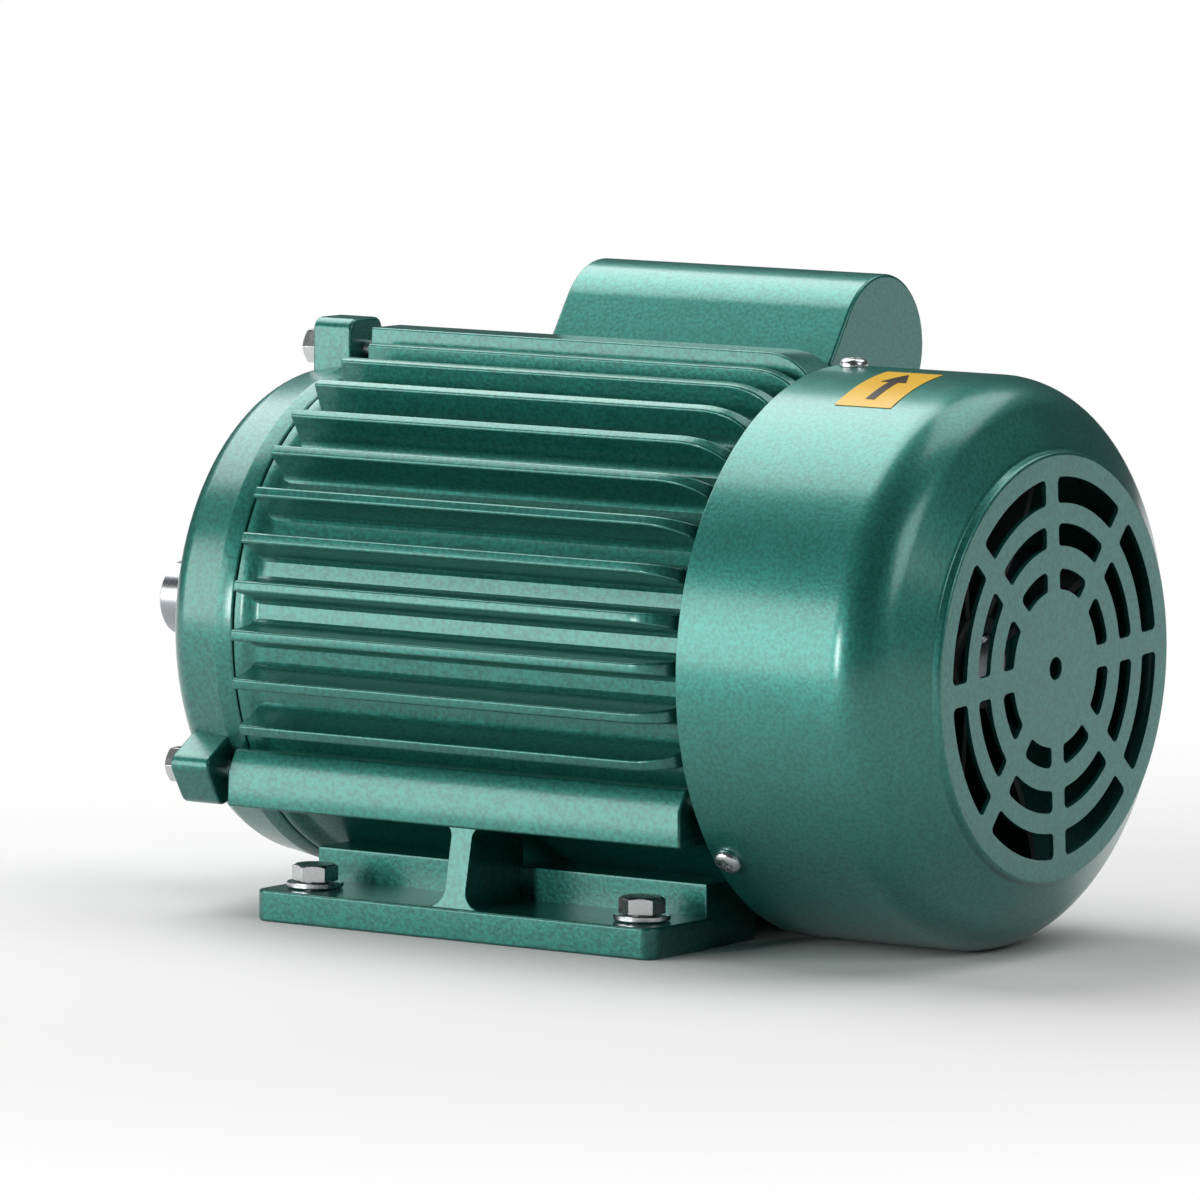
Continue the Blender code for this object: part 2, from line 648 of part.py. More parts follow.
def feet(bm):
    """Two foot plates, each with its corners rounded."""
    half_length = FOOT_LENGTH / 2
    half_width = FOOT_WIDTH / 2
    inner = LEG_OUTER - SINK
    outline = arc((half_length - FOOT_CORNER, half_width - FOOT_CORNER), FOOT_CORNER, 0, 90, STEPS_ARC)
    outline += arc((FOOT_CORNER - half_length, half_width - FOOT_CORNER), FOOT_CORNER, 90, 180, STEPS_ARC)
    outline += [(-half_length, inner), (half_length, inner)]
    for side in (1, -1):
        levels = (-AXIS_HEIGHT, PLATE_TOP)
        lofted(bm, [[(x, side * y, z) for x, y in outline] for z in levels])


def legs(bm):
    """Two legs under the barrel that carry it on the foot plates."""
    half = FOOT_LENGTH / 2 - LEG_END_INSET
    top = LEG_HEIGHT - AXIS_HEIGHT
    bottom = -AXIS_HEIGHT
    for side in (1, -1):
        corners = ((LEG_INNER, bottom), (LEG_OUTER, bottom), (LEG_OUTER, top), (LEG_INNER, top))
        along_x(bm, [(side * y, z) for y, z in corners], -half, half)


def gussets(bm):
    """One rib on each side from the low rail to its foot, flared where it meets the plate."""
    bolt_place = polar(0, DRIVE_BOLT_RADIUS, RAIL_ANGLES[1])
    rail_bottom = bolt_place.z - RAIL_BOTTOM_DROP
    half = GUSSET_WIDTH / 2
    flare = (half + GUSSET_FLARE, PLATE_TOP + GUSSET_FLARE)
    outline = [(half, rail_bottom + SINK)]
    outline += arc(flare, GUSSET_FLARE, 180, 270, STEPS_ARC)
    outline.append((half + GUSSET_FLARE, PLATE_TOP - SINK))
    outline += [(-x, z) for x, z in reversed(outline)]
    top_reach = RAIL_FACE_OFFSET - bolt_place.y - GUSSET_TOP_INSET
    foot_reach = FOOT_WIDTH / 2 - GUSSET_FOOT_INSET
    slope = (foot_reach - top_reach) / (rail_bottom - PLATE_TOP)
    for side in (1, -1):
        outer = [(x, side * (foot_reach - slope * (z - PLATE_TOP)), z) for x, z in outline]
        inner = [(x, side * (LEG_OUTER - SINK), z) for x, z in outline]
        lofted(bm, [outer, inner])


def capacitor_seat(bm):
    """The raised flat on the barrel that the capacitor cover sits on."""
    half = CAP_COVER_RADIUS + CAP_SEAT_MARGIN
    start = CAP_COVER_DRIVE_END - CAP_TAB_REACH
    end = CAP_COVER_FAN_END + CAP_TAB_REACH
    root = BARREL_RADIUS - SINK
    turn = math.degrees(math.asin(half / root))
    outline = [(-half, CAP_SEAT), (half, CAP_SEAT)] + arc((0, 0), root, 90 - turn, 90 + turn, STEPS_ARC)
    on_seat(bm, outline, start, end)


def frame_holes(bm):
    """Holes in the frame: for the shield bolts, the hold-down bolts, the wires and the cover screws."""
    hole = SHIELD_BOLT_SHANK + FIT_GAP
    for angle in RAIL_ANGLES:
        start = polar(FRAME_DRIVE_FACE - OVERSHOOT, DRIVE_BOLT_RADIUS, angle)
        end = polar(FRAME_DRIVE_FACE + SHIELD_BOLT_BITE + HOLE_SPARE, DRIVE_BOLT_RADIUS, angle)
        rod(bm, start, end, hole)
        start = polar(FRAME_FAN_FACE + OVERSHOOT, FAN_BOLT_RADIUS, angle)
        end = polar(FRAME_FAN_FACE - SHIELD_BOLT_BITE - HOLE_SPARE, FAN_BOLT_RADIUS, angle)
        rod(bm, start, end, hole)
    for place in foot_places():
        bottom = Vector((*place, -AXIS_HEIGHT - OVERSHOOT))
        top = Vector((*place, PLATE_TOP + OVERSHOOT))
        rod(bm, bottom, top, FOOT_HOLE_RADIUS)
    inside = polar(WIRE_HOLE_X, BORE_RADIUS - OVERSHOOT, CAP_ANGLE)
    outside = polar(WIRE_HOLE_X, CAP_SEAT + OVERSHOOT, CAP_ANGLE)
    rod(bm, inside, outside, WIRE_HOLE_RADIUS)
    for x in COVER_SCREW_PLACES:
        depth = CAP_SEAT - COVER_SCREW_BITE - HOLE_SPARE
        bottom = polar(x, depth, CAP_ANGLE, CAP_TAB_SIDE)
        top = polar(x, CAP_SEAT + OVERSHOOT, CAP_ANGLE, CAP_TAB_SIDE)
        rod(bm, bottom, top, COVER_SCREW_SHANK + FIT_GAP)


def foot_places():
    """The four hold-down places, as (x, y)."""
    half_pitch = FOOT_HOLE_PITCH / 2
    half_span = FOOT_HOLE_SPAN / 2
    return [(x, y) for x in (-half_pitch, half_pitch) for y in (-half_span, half_span)]


def stator_frame(base):
    """The cast frame: finned barrel, bolt rails, feet, legs, gussets and capacitor seat in one casting."""

    def barrel(bm):
        outline = [
            (FRAME_DRIVE_FACE, BORE_RADIUS),
            (FRAME_DRIVE_FACE, BARREL_RADIUS),
            (FRAME_FAN_FACE, BARREL_RADIUS),
            (FRAME_FAN_FACE, BORE_RADIUS),
        ]
        turned(bm, outline, STEPS_BARREL)

    joins = (rails, fins, capacitor_seat, legs, feet, gussets)
    piece("stator_frame", base, GREEN_ENAMEL, barrel, joins, (frame_holes,))


def stator_slots(core_bore):
    """The lamination outline round the bore: teeth with lips, and slots between them, as (y, z)."""
    outline = []
    pitch = 360 / SLOT_COUNT
    for count in range(SLOT_COUNT):
        middle = pitch * count
        mouth = math.degrees(math.asin(SLOT_MOUTH / 2 / core_bore))
        lip = core_bore + SLOT_LIP
        bottom = core_bore + SLOT_DEPTH
        outline.append(polar(0, core_bore, middle - mouth).yz)
        outline.append(polar(0, lip, middle, -SLOT_MOUTH / 2).yz)
        outline.append(polar(0, lip + SLOT_LIP, middle, -SLOT_WIDTH / 2).yz)
        outline.append(polar(0, bottom, middle, -SLOT_WIDTH / 2).yz)
        outline.append(polar(0, bottom, middle, SLOT_WIDTH / 2).yz)
        outline.append(polar(0, lip + SLOT_LIP, middle, SLOT_WIDTH / 2).yz)
        outline.append(polar(0, lip, middle, SLOT_MOUTH / 2).yz)
        outline.append(polar(0, core_bore, middle + mouth).yz)
    return outline


def stator_core(base):
    """The stack of stator laminations, pressed into the frame bore."""

    def stack(bm):
        ends = ((-CORE_HALF_LENGTH, 0), (CORE_HALF_LENGTH, 0))
        outline = [ends[0], (ends[0][0], STATOR_OUTER), (ends[1][0], STATOR_OUTER), ends[1]]
        turned(bm, outline, STEPS_CORE)

    def slotted_bore(bm):
        reach = CORE_HALF_LENGTH + OVERSHOOT
        along_x(bm, stator_slots(STATOR_BORE), -reach, reach)

    piece("stator_core", base, CORE_STEEL, stack, (), (slotted_bore,))


def stator_winding(base):
    """The copper winding: a bundled ring of end turns past each end of the core, and bars in the slots."""
    middle = (WINDING_INNER + WINDING_OUTER) / 2
    half = (WINDING_OUTER - WINDING_INNER) / 2
    root = CORE_HALF_LENGTH + FIT_GAP

    def end_turns(side):
        def draw(bm):
            crown = WINDING_REACH - half
            outline = [(side * root, WINDING_OUTER - half / 2)]
            outline += [(side * (crown + x), middle + r) for x, r in arc((0, 0), half, 90, -90, STEPS_ARC)]
            outline.append((side * root, WINDING_INNER + half / 2))
            turned(bm, outline, STEPS_SHAFT)

        return draw

    def bars(bm):
        low = STATOR_BORE + 2 * SLOT_LIP + FIT_GAP
        high = STATOR_BORE + SLOT_DEPTH - FIT_GAP
        reach = root + half / 2
        for count in range(SLOT_COUNT):
            angle = 360 / SLOT_COUNT * count
            radial_block(bm, angle, (-reach, reach), (low, high), SLOT_WIDTH - 2 * FIT_GAP)

    piece("stator_winding", base, COPPER, end_turns(1), (bars, end_turns(-1)))


def ear(bm, angle, x_range, radius_range):
    """A bolt ear on a shield, with its outer corners taken off."""
    low, high = radius_range
    half = EAR_WIDTH / 2
    corners = [
        (low, -half),
        (high - EAR_CORNER, -half),
        (high, EAR_CORNER - half),
        (high, half - EAR_CORNER),
        (high - EAR_CORNER, half),
        (low, half),
    ]
    lofted(bm, [[polar(x, reach, angle, side) for reach, side in corners] for x in x_range])


def drive_end_shield(base):
    """The deep drive-end shield: spigot, tapered wall with a rounded edge, bearing hub and bolt ears."""
    rear = FRAME_DRIVE_FACE - FIT_GAP
    ear_rear = FRAME_DRIVE_FACE - EAR_GAP
    rim = DRIVE_FLANGE_RADIUS - DRIVE_SHIELD_TAPER
    edge_x = DRIVE_SHIELD_FACE + DRIVE_SHIELD_DISH + DRIVE_SHIELD_EDGE
    edge_radius = rim - DRIVE_SHIELD_EDGE
    seat = DRIVE_BEARING_OUTSIDE + FIT_GAP
    hub = seat + HUB_WALL
    hole = DRIVE_BEARING_BORE + SHAFT_CLEARANCE
    inner_face = DRIVE_SHIELD_FACE + DRIVE_SHIELD_DISH + SHIELD_WALL
    spigot_end = FRAME_DRIVE_FACE + SPIGOT_LENGTH

    def cup(bm):
        outline = [(DRIVE_SHIELD_FACE, hole), (DRIVE_SHIELD_FACE, hub)]
        outline += arc((edge_x, edge_radius), DRIVE_SHIELD_EDGE, 180, 90, STEPS_ARC)
        outline += [
            (ear_rear, DRIVE_FLANGE_RADIUS),
            (rear, DRIVE_FLANGE_RADIUS),
            (rear, SPIGOT_RADIUS),
            (spigot_end, SPIGOT_RADIUS),
            (spigot_end, SPIGOT_INNER),
            (edge_x + SHIELD_WALL / 2, SPIGOT_INNER),
            (inner_face, SPIGOT_INNER - SHIELD_WALL),
            (inner_face, hub),
            (DRIVE_BEARING_END, hub),
            (DRIVE_BEARING_END, seat),
            (DRIVE_SEAT_BOTTOM, seat),
            (DRIVE_SEAT_BOTTOM, hole),
        ]
        turned(bm, outline, STEPS_SHIELD)

    def ears(bm):
        for angle in RAIL_ANGLES:
            x_range = (ear_rear - EAR_LENGTH, ear_rear)
            radius_range = (SPIGOT_RADIUS + SINK, DRIVE_BOLT_RADIUS + EAR_EDGE)
            ear(bm, angle, x_range, radius_range)

    def bolt_holes(bm):
        for angle in RAIL_ANGLES:
            start = polar(ear_rear - EAR_LENGTH - OVERSHOOT, DRIVE_BOLT_RADIUS, angle)
            end = polar(FRAME_DRIVE_FACE + OVERSHOOT, DRIVE_BOLT_RADIUS, angle)
            rod(bm, start, end, SHIELD_BOLT_SHANK + FIT_GAP)

    piece("drive_end_shield", base, GREEN_ENAMEL, cup, (ears,), (bolt_holes,))


def fan_end_shield(base):
    """The fan-end shield under the cowl: spigot, bearing hub, bolt ears, cowl lugs and switch posts."""
    seat = FAN_BEARING_OUTSIDE + FIT_GAP
    hub = seat + HUB_WALL
    hole = FAN_BEARING_BORE + SHAFT_CLEARANCE
    spigot_end = FRAME_FAN_FACE - SPIGOT_LENGTH
    cowl_room = COWL_INNER * math.cos(math.pi / STEPS_COWL) - FIT_GAP
    lug_top = math.sqrt(cowl_room**2 - (EAR_WIDTH / 2) ** 2)

    def cup(bm):
        outline = [
            (FAN_SHIELD_FACE, hole),
            (FAN_SHIELD_FACE, hub - HUB_CHAMFER),
            (FAN_SHIELD_FACE - HUB_CHAMFER, hub),
            (FAN_WALL_OUTER, hub + SHIELD_WALL),
            (FAN_WALL_OUTER, FAN_FLANGE_RADIUS),
            (FAN_SHIELD_START, FAN_FLANGE_RADIUS),
            (FAN_SHIELD_START, SPIGOT_RADIUS),
            (spigot_end, SPIGOT_RADIUS),
            (spigot_end, SPIGOT_INNER),
            (FAN_WALL_INNER, SPIGOT_INNER - SHIELD_WALL / 2),
            (FAN_WALL_INNER, hub),
            (FAN_BEARING_START, hub),
            (FAN_BEARING_START, seat),
            (FAN_SEAT_BOTTOM, seat),
            (FAN_SEAT_BOTTOM, hole),
        ]
        turned(bm, outline, STEPS_SHIELD)

    def ears(bm):
        x_range = (FAN_SHIELD_START + FIT_GAP, FAN_WALL_OUTER - FIT_GAP)
        for angle in RAIL_ANGLES:
            ear(bm, angle, x_range, (SPIGOT_RADIUS + SINK, lug_top))

    def lugs(bm):
        x_range = (COWL_SCREW_X - COWL_SCREW_HEAD, COWL_SCREW_X + COWL_SCREW_HEAD)
        for angle in COWL_SCREW_ANGLES[1:]:
            radial_block(bm, angle, x_range, (FAN_FLANGE_RADIUS - SINK, lug_top), COWL_LUG_WIDTH)

    def posts(bm):
        for angle in POST_ANGLES:
            start = polar(SWITCH_PLATE_END + FIT_GAP, POST_PLACE, angle)
            rod(bm, start, polar(FAN_WALL_INNER + SINK, POST_PLACE, angle), POST_RADIUS)

    def holes(bm):
        for angle in RAIL_ANGLES:
            start = polar(FRAME_FAN_FACE - OVERSHOOT, FAN_BOLT_RADIUS, angle)
            end = polar(FAN_WALL_OUTER + OVERSHOOT, FAN_BOLT_RADIUS, angle)
            rod(bm, start, end, SHIELD_BOLT_SHANK + FIT_GAP)
        for angle in COWL_SCREW_ANGLES:
            depth = COWL_RADIUS - COWL_SHEET - COWL_SCREW_BITE - FIT_GAP
            start = polar(COWL_SCREW_X, depth, angle)
            end = polar(COWL_SCREW_X, COWL_RADIUS + OVERSHOOT, angle)
            rod(bm, start, end, COWL_SCREW_SHANK + FIT_GAP)

    piece("fan_end_shield", base, GREEN_ENAMEL, cup, (ears, lugs, posts), (holes,))


def bearing(name, base, shaft_axis, cage_axis, sizes):
    """A ball bearing: outer ring, inner ring, and the balls in their cage."""
    start, bore, outside, width, ball = sizes
    middle = start + width / 2
    pitch = (bore + outside) / 2
    groove = ball + BALL_GAP
    steps = STEPS_SHAFT

    def race(side, shoulder, back):
        reach = math.sqrt(groove**2 - (abs(shoulder - pitch)) ** 2)
        half_turn = math.degrees(math.asin(reach / groove))
        outline = [(start, back), (start, shoulder)]
        track = arc((middle, pitch), groove, 90 + half_turn, 90 - half_turn, STEPS_ARC)
        outline += [(x, pitch + side * (r - pitch)) for x, r in track]
        outline += [(start + width, shoulder), (start + width, back)]
        return outline

    shoulder_reach = groove - RACE_DEPTH
    outer = race(1, pitch + shoulder_reach, outside)
    inner = race(-1, pitch - shoulder_reach, bore + FIT_GAP)
    piece(f"{name}_bearing_outer_ring", base, BALL_STEEL, lambda bm: turned(bm, outer, steps))
    piece(f"{name}_bearing_inner_ring", shaft_axis, BALL_STEEL, lambda bm: turned(bm, inner, steps))

    def band(bm):
        half = ball + CAGE_RIM
        low = pitch - CAGE_WALL / 2
        high = pitch + CAGE_WALL / 2
        outline = [(middle - half, low), (middle - half, high), (middle + half, high), (middle + half, low)]
        turned(bm, outline, BALL_COUNT)

    def balls(bm):
        for count in range(BALL_COUNT):
            place = Matrix.Translation(polar(middle, pitch, 360 / BALL_COUNT * count))
            bmesh.ops.create_uvsphere(bm, u_segments=STEPS_PIN, v_segments=STEPS_ARC, radius=ball, matrix=place)

    piece(f"{name}_bearing_ball_cage", cage_axis, BRASS, band, (balls,))


def wave_spring(base):
    """The wavy washer that preloads the fan-end bearing."""

    def wave(bm):
        steps = STEPS_WAVE * WAVE_COUNT
        inner = FAN_BEARING_OUTSIDE - 2 * WAVE_SPACE
        middle = FAN_BEARING_END + WAVE_SPACE / 2
        corners = []
        for step in range(steps):
            angle = 360 * step / steps
            rise = WAVE_HEIGHT / 2 * math.sin(math.radians(angle * WAVE_COUNT))
            low = middle + rise - WAVE_SHEET / 2
            high = middle + rise + WAVE_SHEET / 2
            section = ((low, inner), (low, FAN_BEARING_OUTSIDE), (high, FAN_BEARING_OUTSIDE), (high, inner))
            corners.append([bm.verts.new(polar(x, radius, angle)) for x, radius in section])
        for here in range(steps):
            near = corners[here]
            far = corners[(here + 1) % steps]
            for side in range(4):
                after = (side + 1) % 4
                bm.faces.new((near[side], near[after], far[after], far[side]))

    piece("wave_spring", base, SPRING_STEEL, wave)


def key_outline(length, width, middle):
    """A key's plan with round ends, as (x, y) points."""
    straight = length / 2 - width / 2
    outline = arc((middle + straight, 0), width / 2, -90, 90, STEPS_PIN)
    outline += arc((middle - straight, 0), width / 2, 90, 270, STEPS_PIN)
    return outline


def shaft(shaft_axis):
    """The stepped shaft with its keyway and the groove for the fan clip."""
    key_middle = SHAFT_DRIVE_END + KEY_END_SPACE + KEY_LENGTH / 2
    outline = [
        (SHAFT_DRIVE_END, 0),
        (SHAFT_DRIVE_END, SHAFT_RADIUS - SHAFT_CHAMFER),
        (SHAFT_DRIVE_END + SHAFT_CHAMFER, SHAFT_RADIUS),
        (SHAFT_SHOULDER, SHAFT_RADIUS),
        (SHAFT_SHOULDER, DRIVE_BEARING_BORE),
        (DRIVE_BEARING_END + FIT_GAP, DRIVE_BEARING_BORE),
        (DRIVE_BEARING_END + FIT_GAP, SHAFT_COLLAR_RADIUS),
        (DRIVE_BEARING_END + SHAFT_COLLAR_WIDTH, SHAFT_COLLAR_RADIUS),
        (DRIVE_BEARING_END + SHAFT_COLLAR_WIDTH, ROTOR_SEAT_RADIUS),
        (CARRIER_END, ROTOR_SEAT_RADIUS),
        (CARRIER_END, SWITCH_SHAFT_RADIUS),
        (FAN_BEARING_START - FIT_GAP, SWITCH_SHAFT_RADIUS),
        (FAN_BEARING_START - FIT_GAP, FAN_BEARING_BORE),
        (FAN_SEAT_BOTTOM, FAN_BEARING_BORE),
        (FAN_SEAT_BOTTOM, FAN_SEAT_RADIUS),
        (CLIP_START - FIT_GAP, FAN_SEAT_RADIUS),
        (CLIP_START - FIT_GAP, FAN_SEAT_RADIUS - CLIP_DEPTH),
        (CLIP_END + FIT_GAP, FAN_SEAT_RADIUS - CLIP_DEPTH),
        (CLIP_END + FIT_GAP, FAN_SEAT_RADIUS),
        (SHAFT_FAN_END - SHAFT_CHAMFER, FAN_SEAT_RADIUS),
        (SHAFT_FAN_END, FAN_SEAT_RADIUS - SHAFT_CHAMFER),
        (SHAFT_FAN_END, 0),
    ]

    def keyway(bm):
        plan = key_outline(KEY_LENGTH + 2 * FIT_GAP, KEY_WIDTH + 2 * FIT_GAP, key_middle)
        levels = (SHAFT_RADIUS - KEY_SINK - FIT_GAP, SHAFT_RADIUS + OVERSHOOT)
        lofted(bm, [[(x, y, z) for x, y in plan] for z in levels])

    def key(bm):
        plan = key_outline(KEY_LENGTH, KEY_WIDTH, key_middle)
        bottom = SHAFT_RADIUS - KEY_SINK
        lofted(bm, [[(x, y, z) for x, y in plan] for z in (bottom, bottom + KEY_HEIGHT)])

    piece("shaft", shaft_axis, STEEL, lambda bm: turned(bm, outline, STEPS_SHAFT), (), (keyway,))
    piece("shaft_key", shaft_axis, STEEL, key)


def shaft_seal(shaft_axis):
    """The rubber lip ring that turns with the shaft against the shield face."""
    bore = SHAFT_RADIUS + FIT_GAP
    waist = (bore + SEAL_RADIUS) / 2
    end = SHAFT_SHOULDER - FIT_GAP
    start = end - SEAL_WIDTH
    outline = [
        (start, bore),
        (start, waist),
        (start + SEAL_WIDTH / 2, waist),
        (end, SEAL_RADIUS),
        (end, SEAL_RADIUS - SEAL_LIP),
        (end - SEAL_LIP, waist),
        (end, waist - SEAL_LIP),
        (end, bore),
    ]
    piece("shaft_seal", shaft_axis, RUBBER, lambda bm: turned(bm, outline, STEPS_SHAFT))


def rotor_bars(bm, reach, radius):
    """The round bars of the rotor cage, or the holes for them."""
    for count in range(ROTOR_BARS):
        angle = 360 / ROTOR_BARS * count
        start = polar(-reach, ROTOR_BAR_PLACE, angle)
        rod(bm, start, polar(reach, ROTOR_BAR_PLACE, angle), radius, STEPS_PIN)


def rotor(shaft_axis):
    """The rotor laminations, and the cast cage: bars through them and end rings with stirring vanes."""
    bore = ROTOR_SEAT_RADIUS + FIT_GAP
    stack = [
        (-CORE_HALF_LENGTH, bore),
        (-CORE_HALF_LENGTH, ROTOR_RADIUS),
        (CORE_HALF_LENGTH, ROTOR_RADIUS),
        (CORE_HALF_LENGTH, bore),
    ]

    def bar_holes(bm):
        rotor_bars(bm, CORE_HALF_LENGTH + OVERSHOOT, ROTOR_BAR_RADIUS + FIT_GAP)

    piece("rotor_core", shaft_axis, CORE_STEEL, lambda bm: turned(bm, stack, STEPS_CORE), (), (bar_holes,))

    def end_ring(side):
        start = side * END_RING_START
        end = side * END_RING_END
        outline = [
            (start, END_RING_INNER),
            (start, END_RING_OUTER),
            (end, END_RING_OUTER - END_RING_EDGE),
            (end, END_RING_INNER + END_RING_EDGE),
        ]
        return lambda bm: turned(bm, outline, STEPS_SHAFT)

    def bars(bm):
        rotor_bars(bm, END_RING_START + SINK, ROTOR_BAR_RADIUS)

    def vanes(bm):
        middle = (END_RING_INNER + END_RING_OUTER) / 2
        half = (END_RING_OUTER - END_RING_INNER) / 3
        for side in (1, -1):
            x_range = (side * (END_RING_END - SINK), side * VANE_END)
            for count in range(END_RING_VANES):
                angle = 360 / END_RING_VANES * (count + 0.5)
                radial_block(bm, angle, x_range, (middle - half, middle + half), END_RING_VANE_SHEET)

    piece("rotor_cage", shaft_axis, ALUMINIUM, end_ring(1), (bars, end_ring(-1), vanes))


def weight_pin(bm, radius, reach):
    """The two tangential pivot pins of the switch weights."""
    for angle in WEIGHT_ANGLES:
        start = polar(WEIGHT_PIVOT_X, WEIGHT_PIVOT_RADIUS, angle, -reach)
        end = polar(WEIGHT_PIVOT_X, WEIGHT_PIVOT_RADIUS, angle, reach)
        rod(bm, start, end, radius, STEPS_PIN)


def start_switch_rotor(shaft_axis, collar_axis, weight_axes):
    """The turning half of the start switch: carrier, two fly weights, sliding collar and its spring."""
    half_ear = WEIGHT_EAR_WIDTH / 2
    cheek_in = half_ear + FIT_GAP
    cheek_out = cheek_in + WEIGHT_WALL

    def hub(bm):
        bore = ROTOR_SEAT_RADIUS + FIT_GAP
        outline = [
            (CARRIER_START, bore),
            (CARRIER_START, CARRIER_RADIUS),
            (CARRIER_END, CARRIER_RADIUS),
            (CARRIER_END, bore),
        ]
        turned(bm, outline, STEPS_SHAFT)

    def ears(bm):
        top = WEIGHT_PIVOT_RADIUS + 2 * PIVOT_PIN_RADIUS
        for angle in WEIGHT_ANGLES:
            x_range = (CARRIER_START + FIT_GAP, CARRIER_END - FIT_GAP)
            radial_block(bm, angle, x_range, (CARRIER_RADIUS - SINK, top), WEIGHT_EAR_WIDTH)

    def pins(bm):
        weight_pin(bm, PIVOT_PIN_RADIUS, cheek_out)

    piece("switch_carrier", shaft_axis, BLACK_PLASTIC, hub, (ears, pins))

    def pin_holes(bm):
        weight_pin(bm, PIVOT_PIN_RADIUS + FIT_GAP, cheek_out + OVERSHOOT)

    for letter, angle, axis in zip("ab", WEIGHT_ANGLES, weight_axes):

        def saddle(bm, angle=angle):
            start = WEIGHT_PIVOT_X - 2 * PIVOT_PIN_RADIUS - FIT_GAP
            end = start + WEIGHT_LENGTH
            notch = end - WEIGHT_BLOCK
            plan = [
                (start, -cheek_out),
                (end, -cheek_out),
                (end, cheek_out),
                (start, cheek_out),
                (start, cheek_in),
                (notch, cheek_in),
                (notch, -cheek_in),
                (start, -cheek_in),
            ]
            low = WEIGHT_PIVOT_RADIUS - WEIGHT_THICKNESS / 2
            radii = (low, low + WEIGHT_THICKNESS)
            lofted(bm, [[polar(x, radius, angle, side) for x, side in plan] for radius in radii])

        weight = piece(f"switch_weight_{letter}", shaft_axis, ZINC, saddle, (), (pin_holes,))
        hang(weight, axis)

    def spool(bm):
        flange = COLLAR_END - COLLAR_FLANGE
        outline = [
            (COLLAR_START, COLLAR_BORE),
            (COLLAR_START, COLLAR_HUB_RADIUS),
            (flange, COLLAR_HUB_RADIUS),
            (flange, COLLAR_FLANGE_RADIUS),
            (COLLAR_END, COLLAR_FLANGE_RADIUS),
            (COLLAR_END, COLLAR_BORE),
        ]
        turned(bm, outline, STEPS_SHAFT)

    piece("switch_collar", collar_axis, BLACK_PLASTIC, spool)

    def coil(bm):
        low = CARRIER_END + FIT_GAP + SPRING_WIRE
        high = COLLAR_START - FIT_GAP - SPRING_WIRE
        radius = (COLLAR_BORE + COLLAR_HUB_RADIUS) / 2
        steps = STEPS_SMALL * SPRING_TURNS
        section = arc((0, 0), SPRING_WIRE, 0, 270, 3)
        rings = []
        for step in range(steps + 1):
            angle = 360 * SPRING_TURNS * step / steps
            x = low + (high - low) * step / steps
            rings.append([polar(x + along, radius + out, angle) for along, out in section])
        lofted(bm, rings)

    piece("switch_spring", collar_axis, SPRING_STEEL, coil)


def hang(obj, axis):
    """The object's origin moved onto its own pivot, its shape left where it is."""
    shift = axis.location - obj.parent.location
    obj.data.transform(Matrix.Translation(-shift))
    obj.parent = axis


def start_switch_stator(base, arm_axis):
    """The fixed half of the start switch: the board on the shield posts, and its contact arm."""
    cheek_in = CONTACT_ARM_WIDTH / 2 + FIT_GAP
    cheek_out = cheek_in + SWITCH_CHEEK
    pin = PIVOT_PIN_RADIUS / 2

    def board(bm):
        outline = [
            (SWITCH_PLATE_START, SWITCH_PLATE_INNER),
            (SWITCH_PLATE_START, SWITCH_PLATE_OUTER),
            (SWITCH_PLATE_END, SWITCH_PLATE_OUTER),
            (SWITCH_PLATE_END, SWITCH_PLATE_INNER),
        ]
        turned(bm, outline, STEPS_SHAFT)

    def cheeks(bm):
        x_range = (CONTACT_ARM_START - FIT_GAP, SWITCH_PLATE_START + SWITCH_PLATE_SHEET / 2)
        middle = (cheek_in + cheek_out) / 2
        reach = SWITCH_CHEEK
        for side in (-1, 1):
            rows = []
            for x in x_range:
                rows.append(
                    [
                        polar(x, CONTACT_PIVOT_RADIUS + up, CONTACT_ANGLE, side * middle + wide)
                        for up, wide in (
                            (-reach, -SWITCH_CHEEK / 2),
                            (reach, -SWITCH_CHEEK / 2),
                            (reach, SWITCH_CHEEK / 2),
                            (-reach, SWITCH_CHEEK / 2),
                        )
                    ]
                )
            lofted(bm, rows)

    piece("switch_plate", base, BROWN_BOARD, board, (cheeks,))

    def leaf(bm):
        x_range = (CONTACT_ARM_START, CONTACT_ARM_END)
        radii = (CONTACT_ARM_TIP, CONTACT_PIVOT_RADIUS + pin)
        radial_block(bm, CONTACT_ANGLE, x_range, radii, CONTACT_ARM_WIDTH)

    arm = piece("switch_contact_arm", base, BRASS, leaf)
    hang(arm, arm_axis)


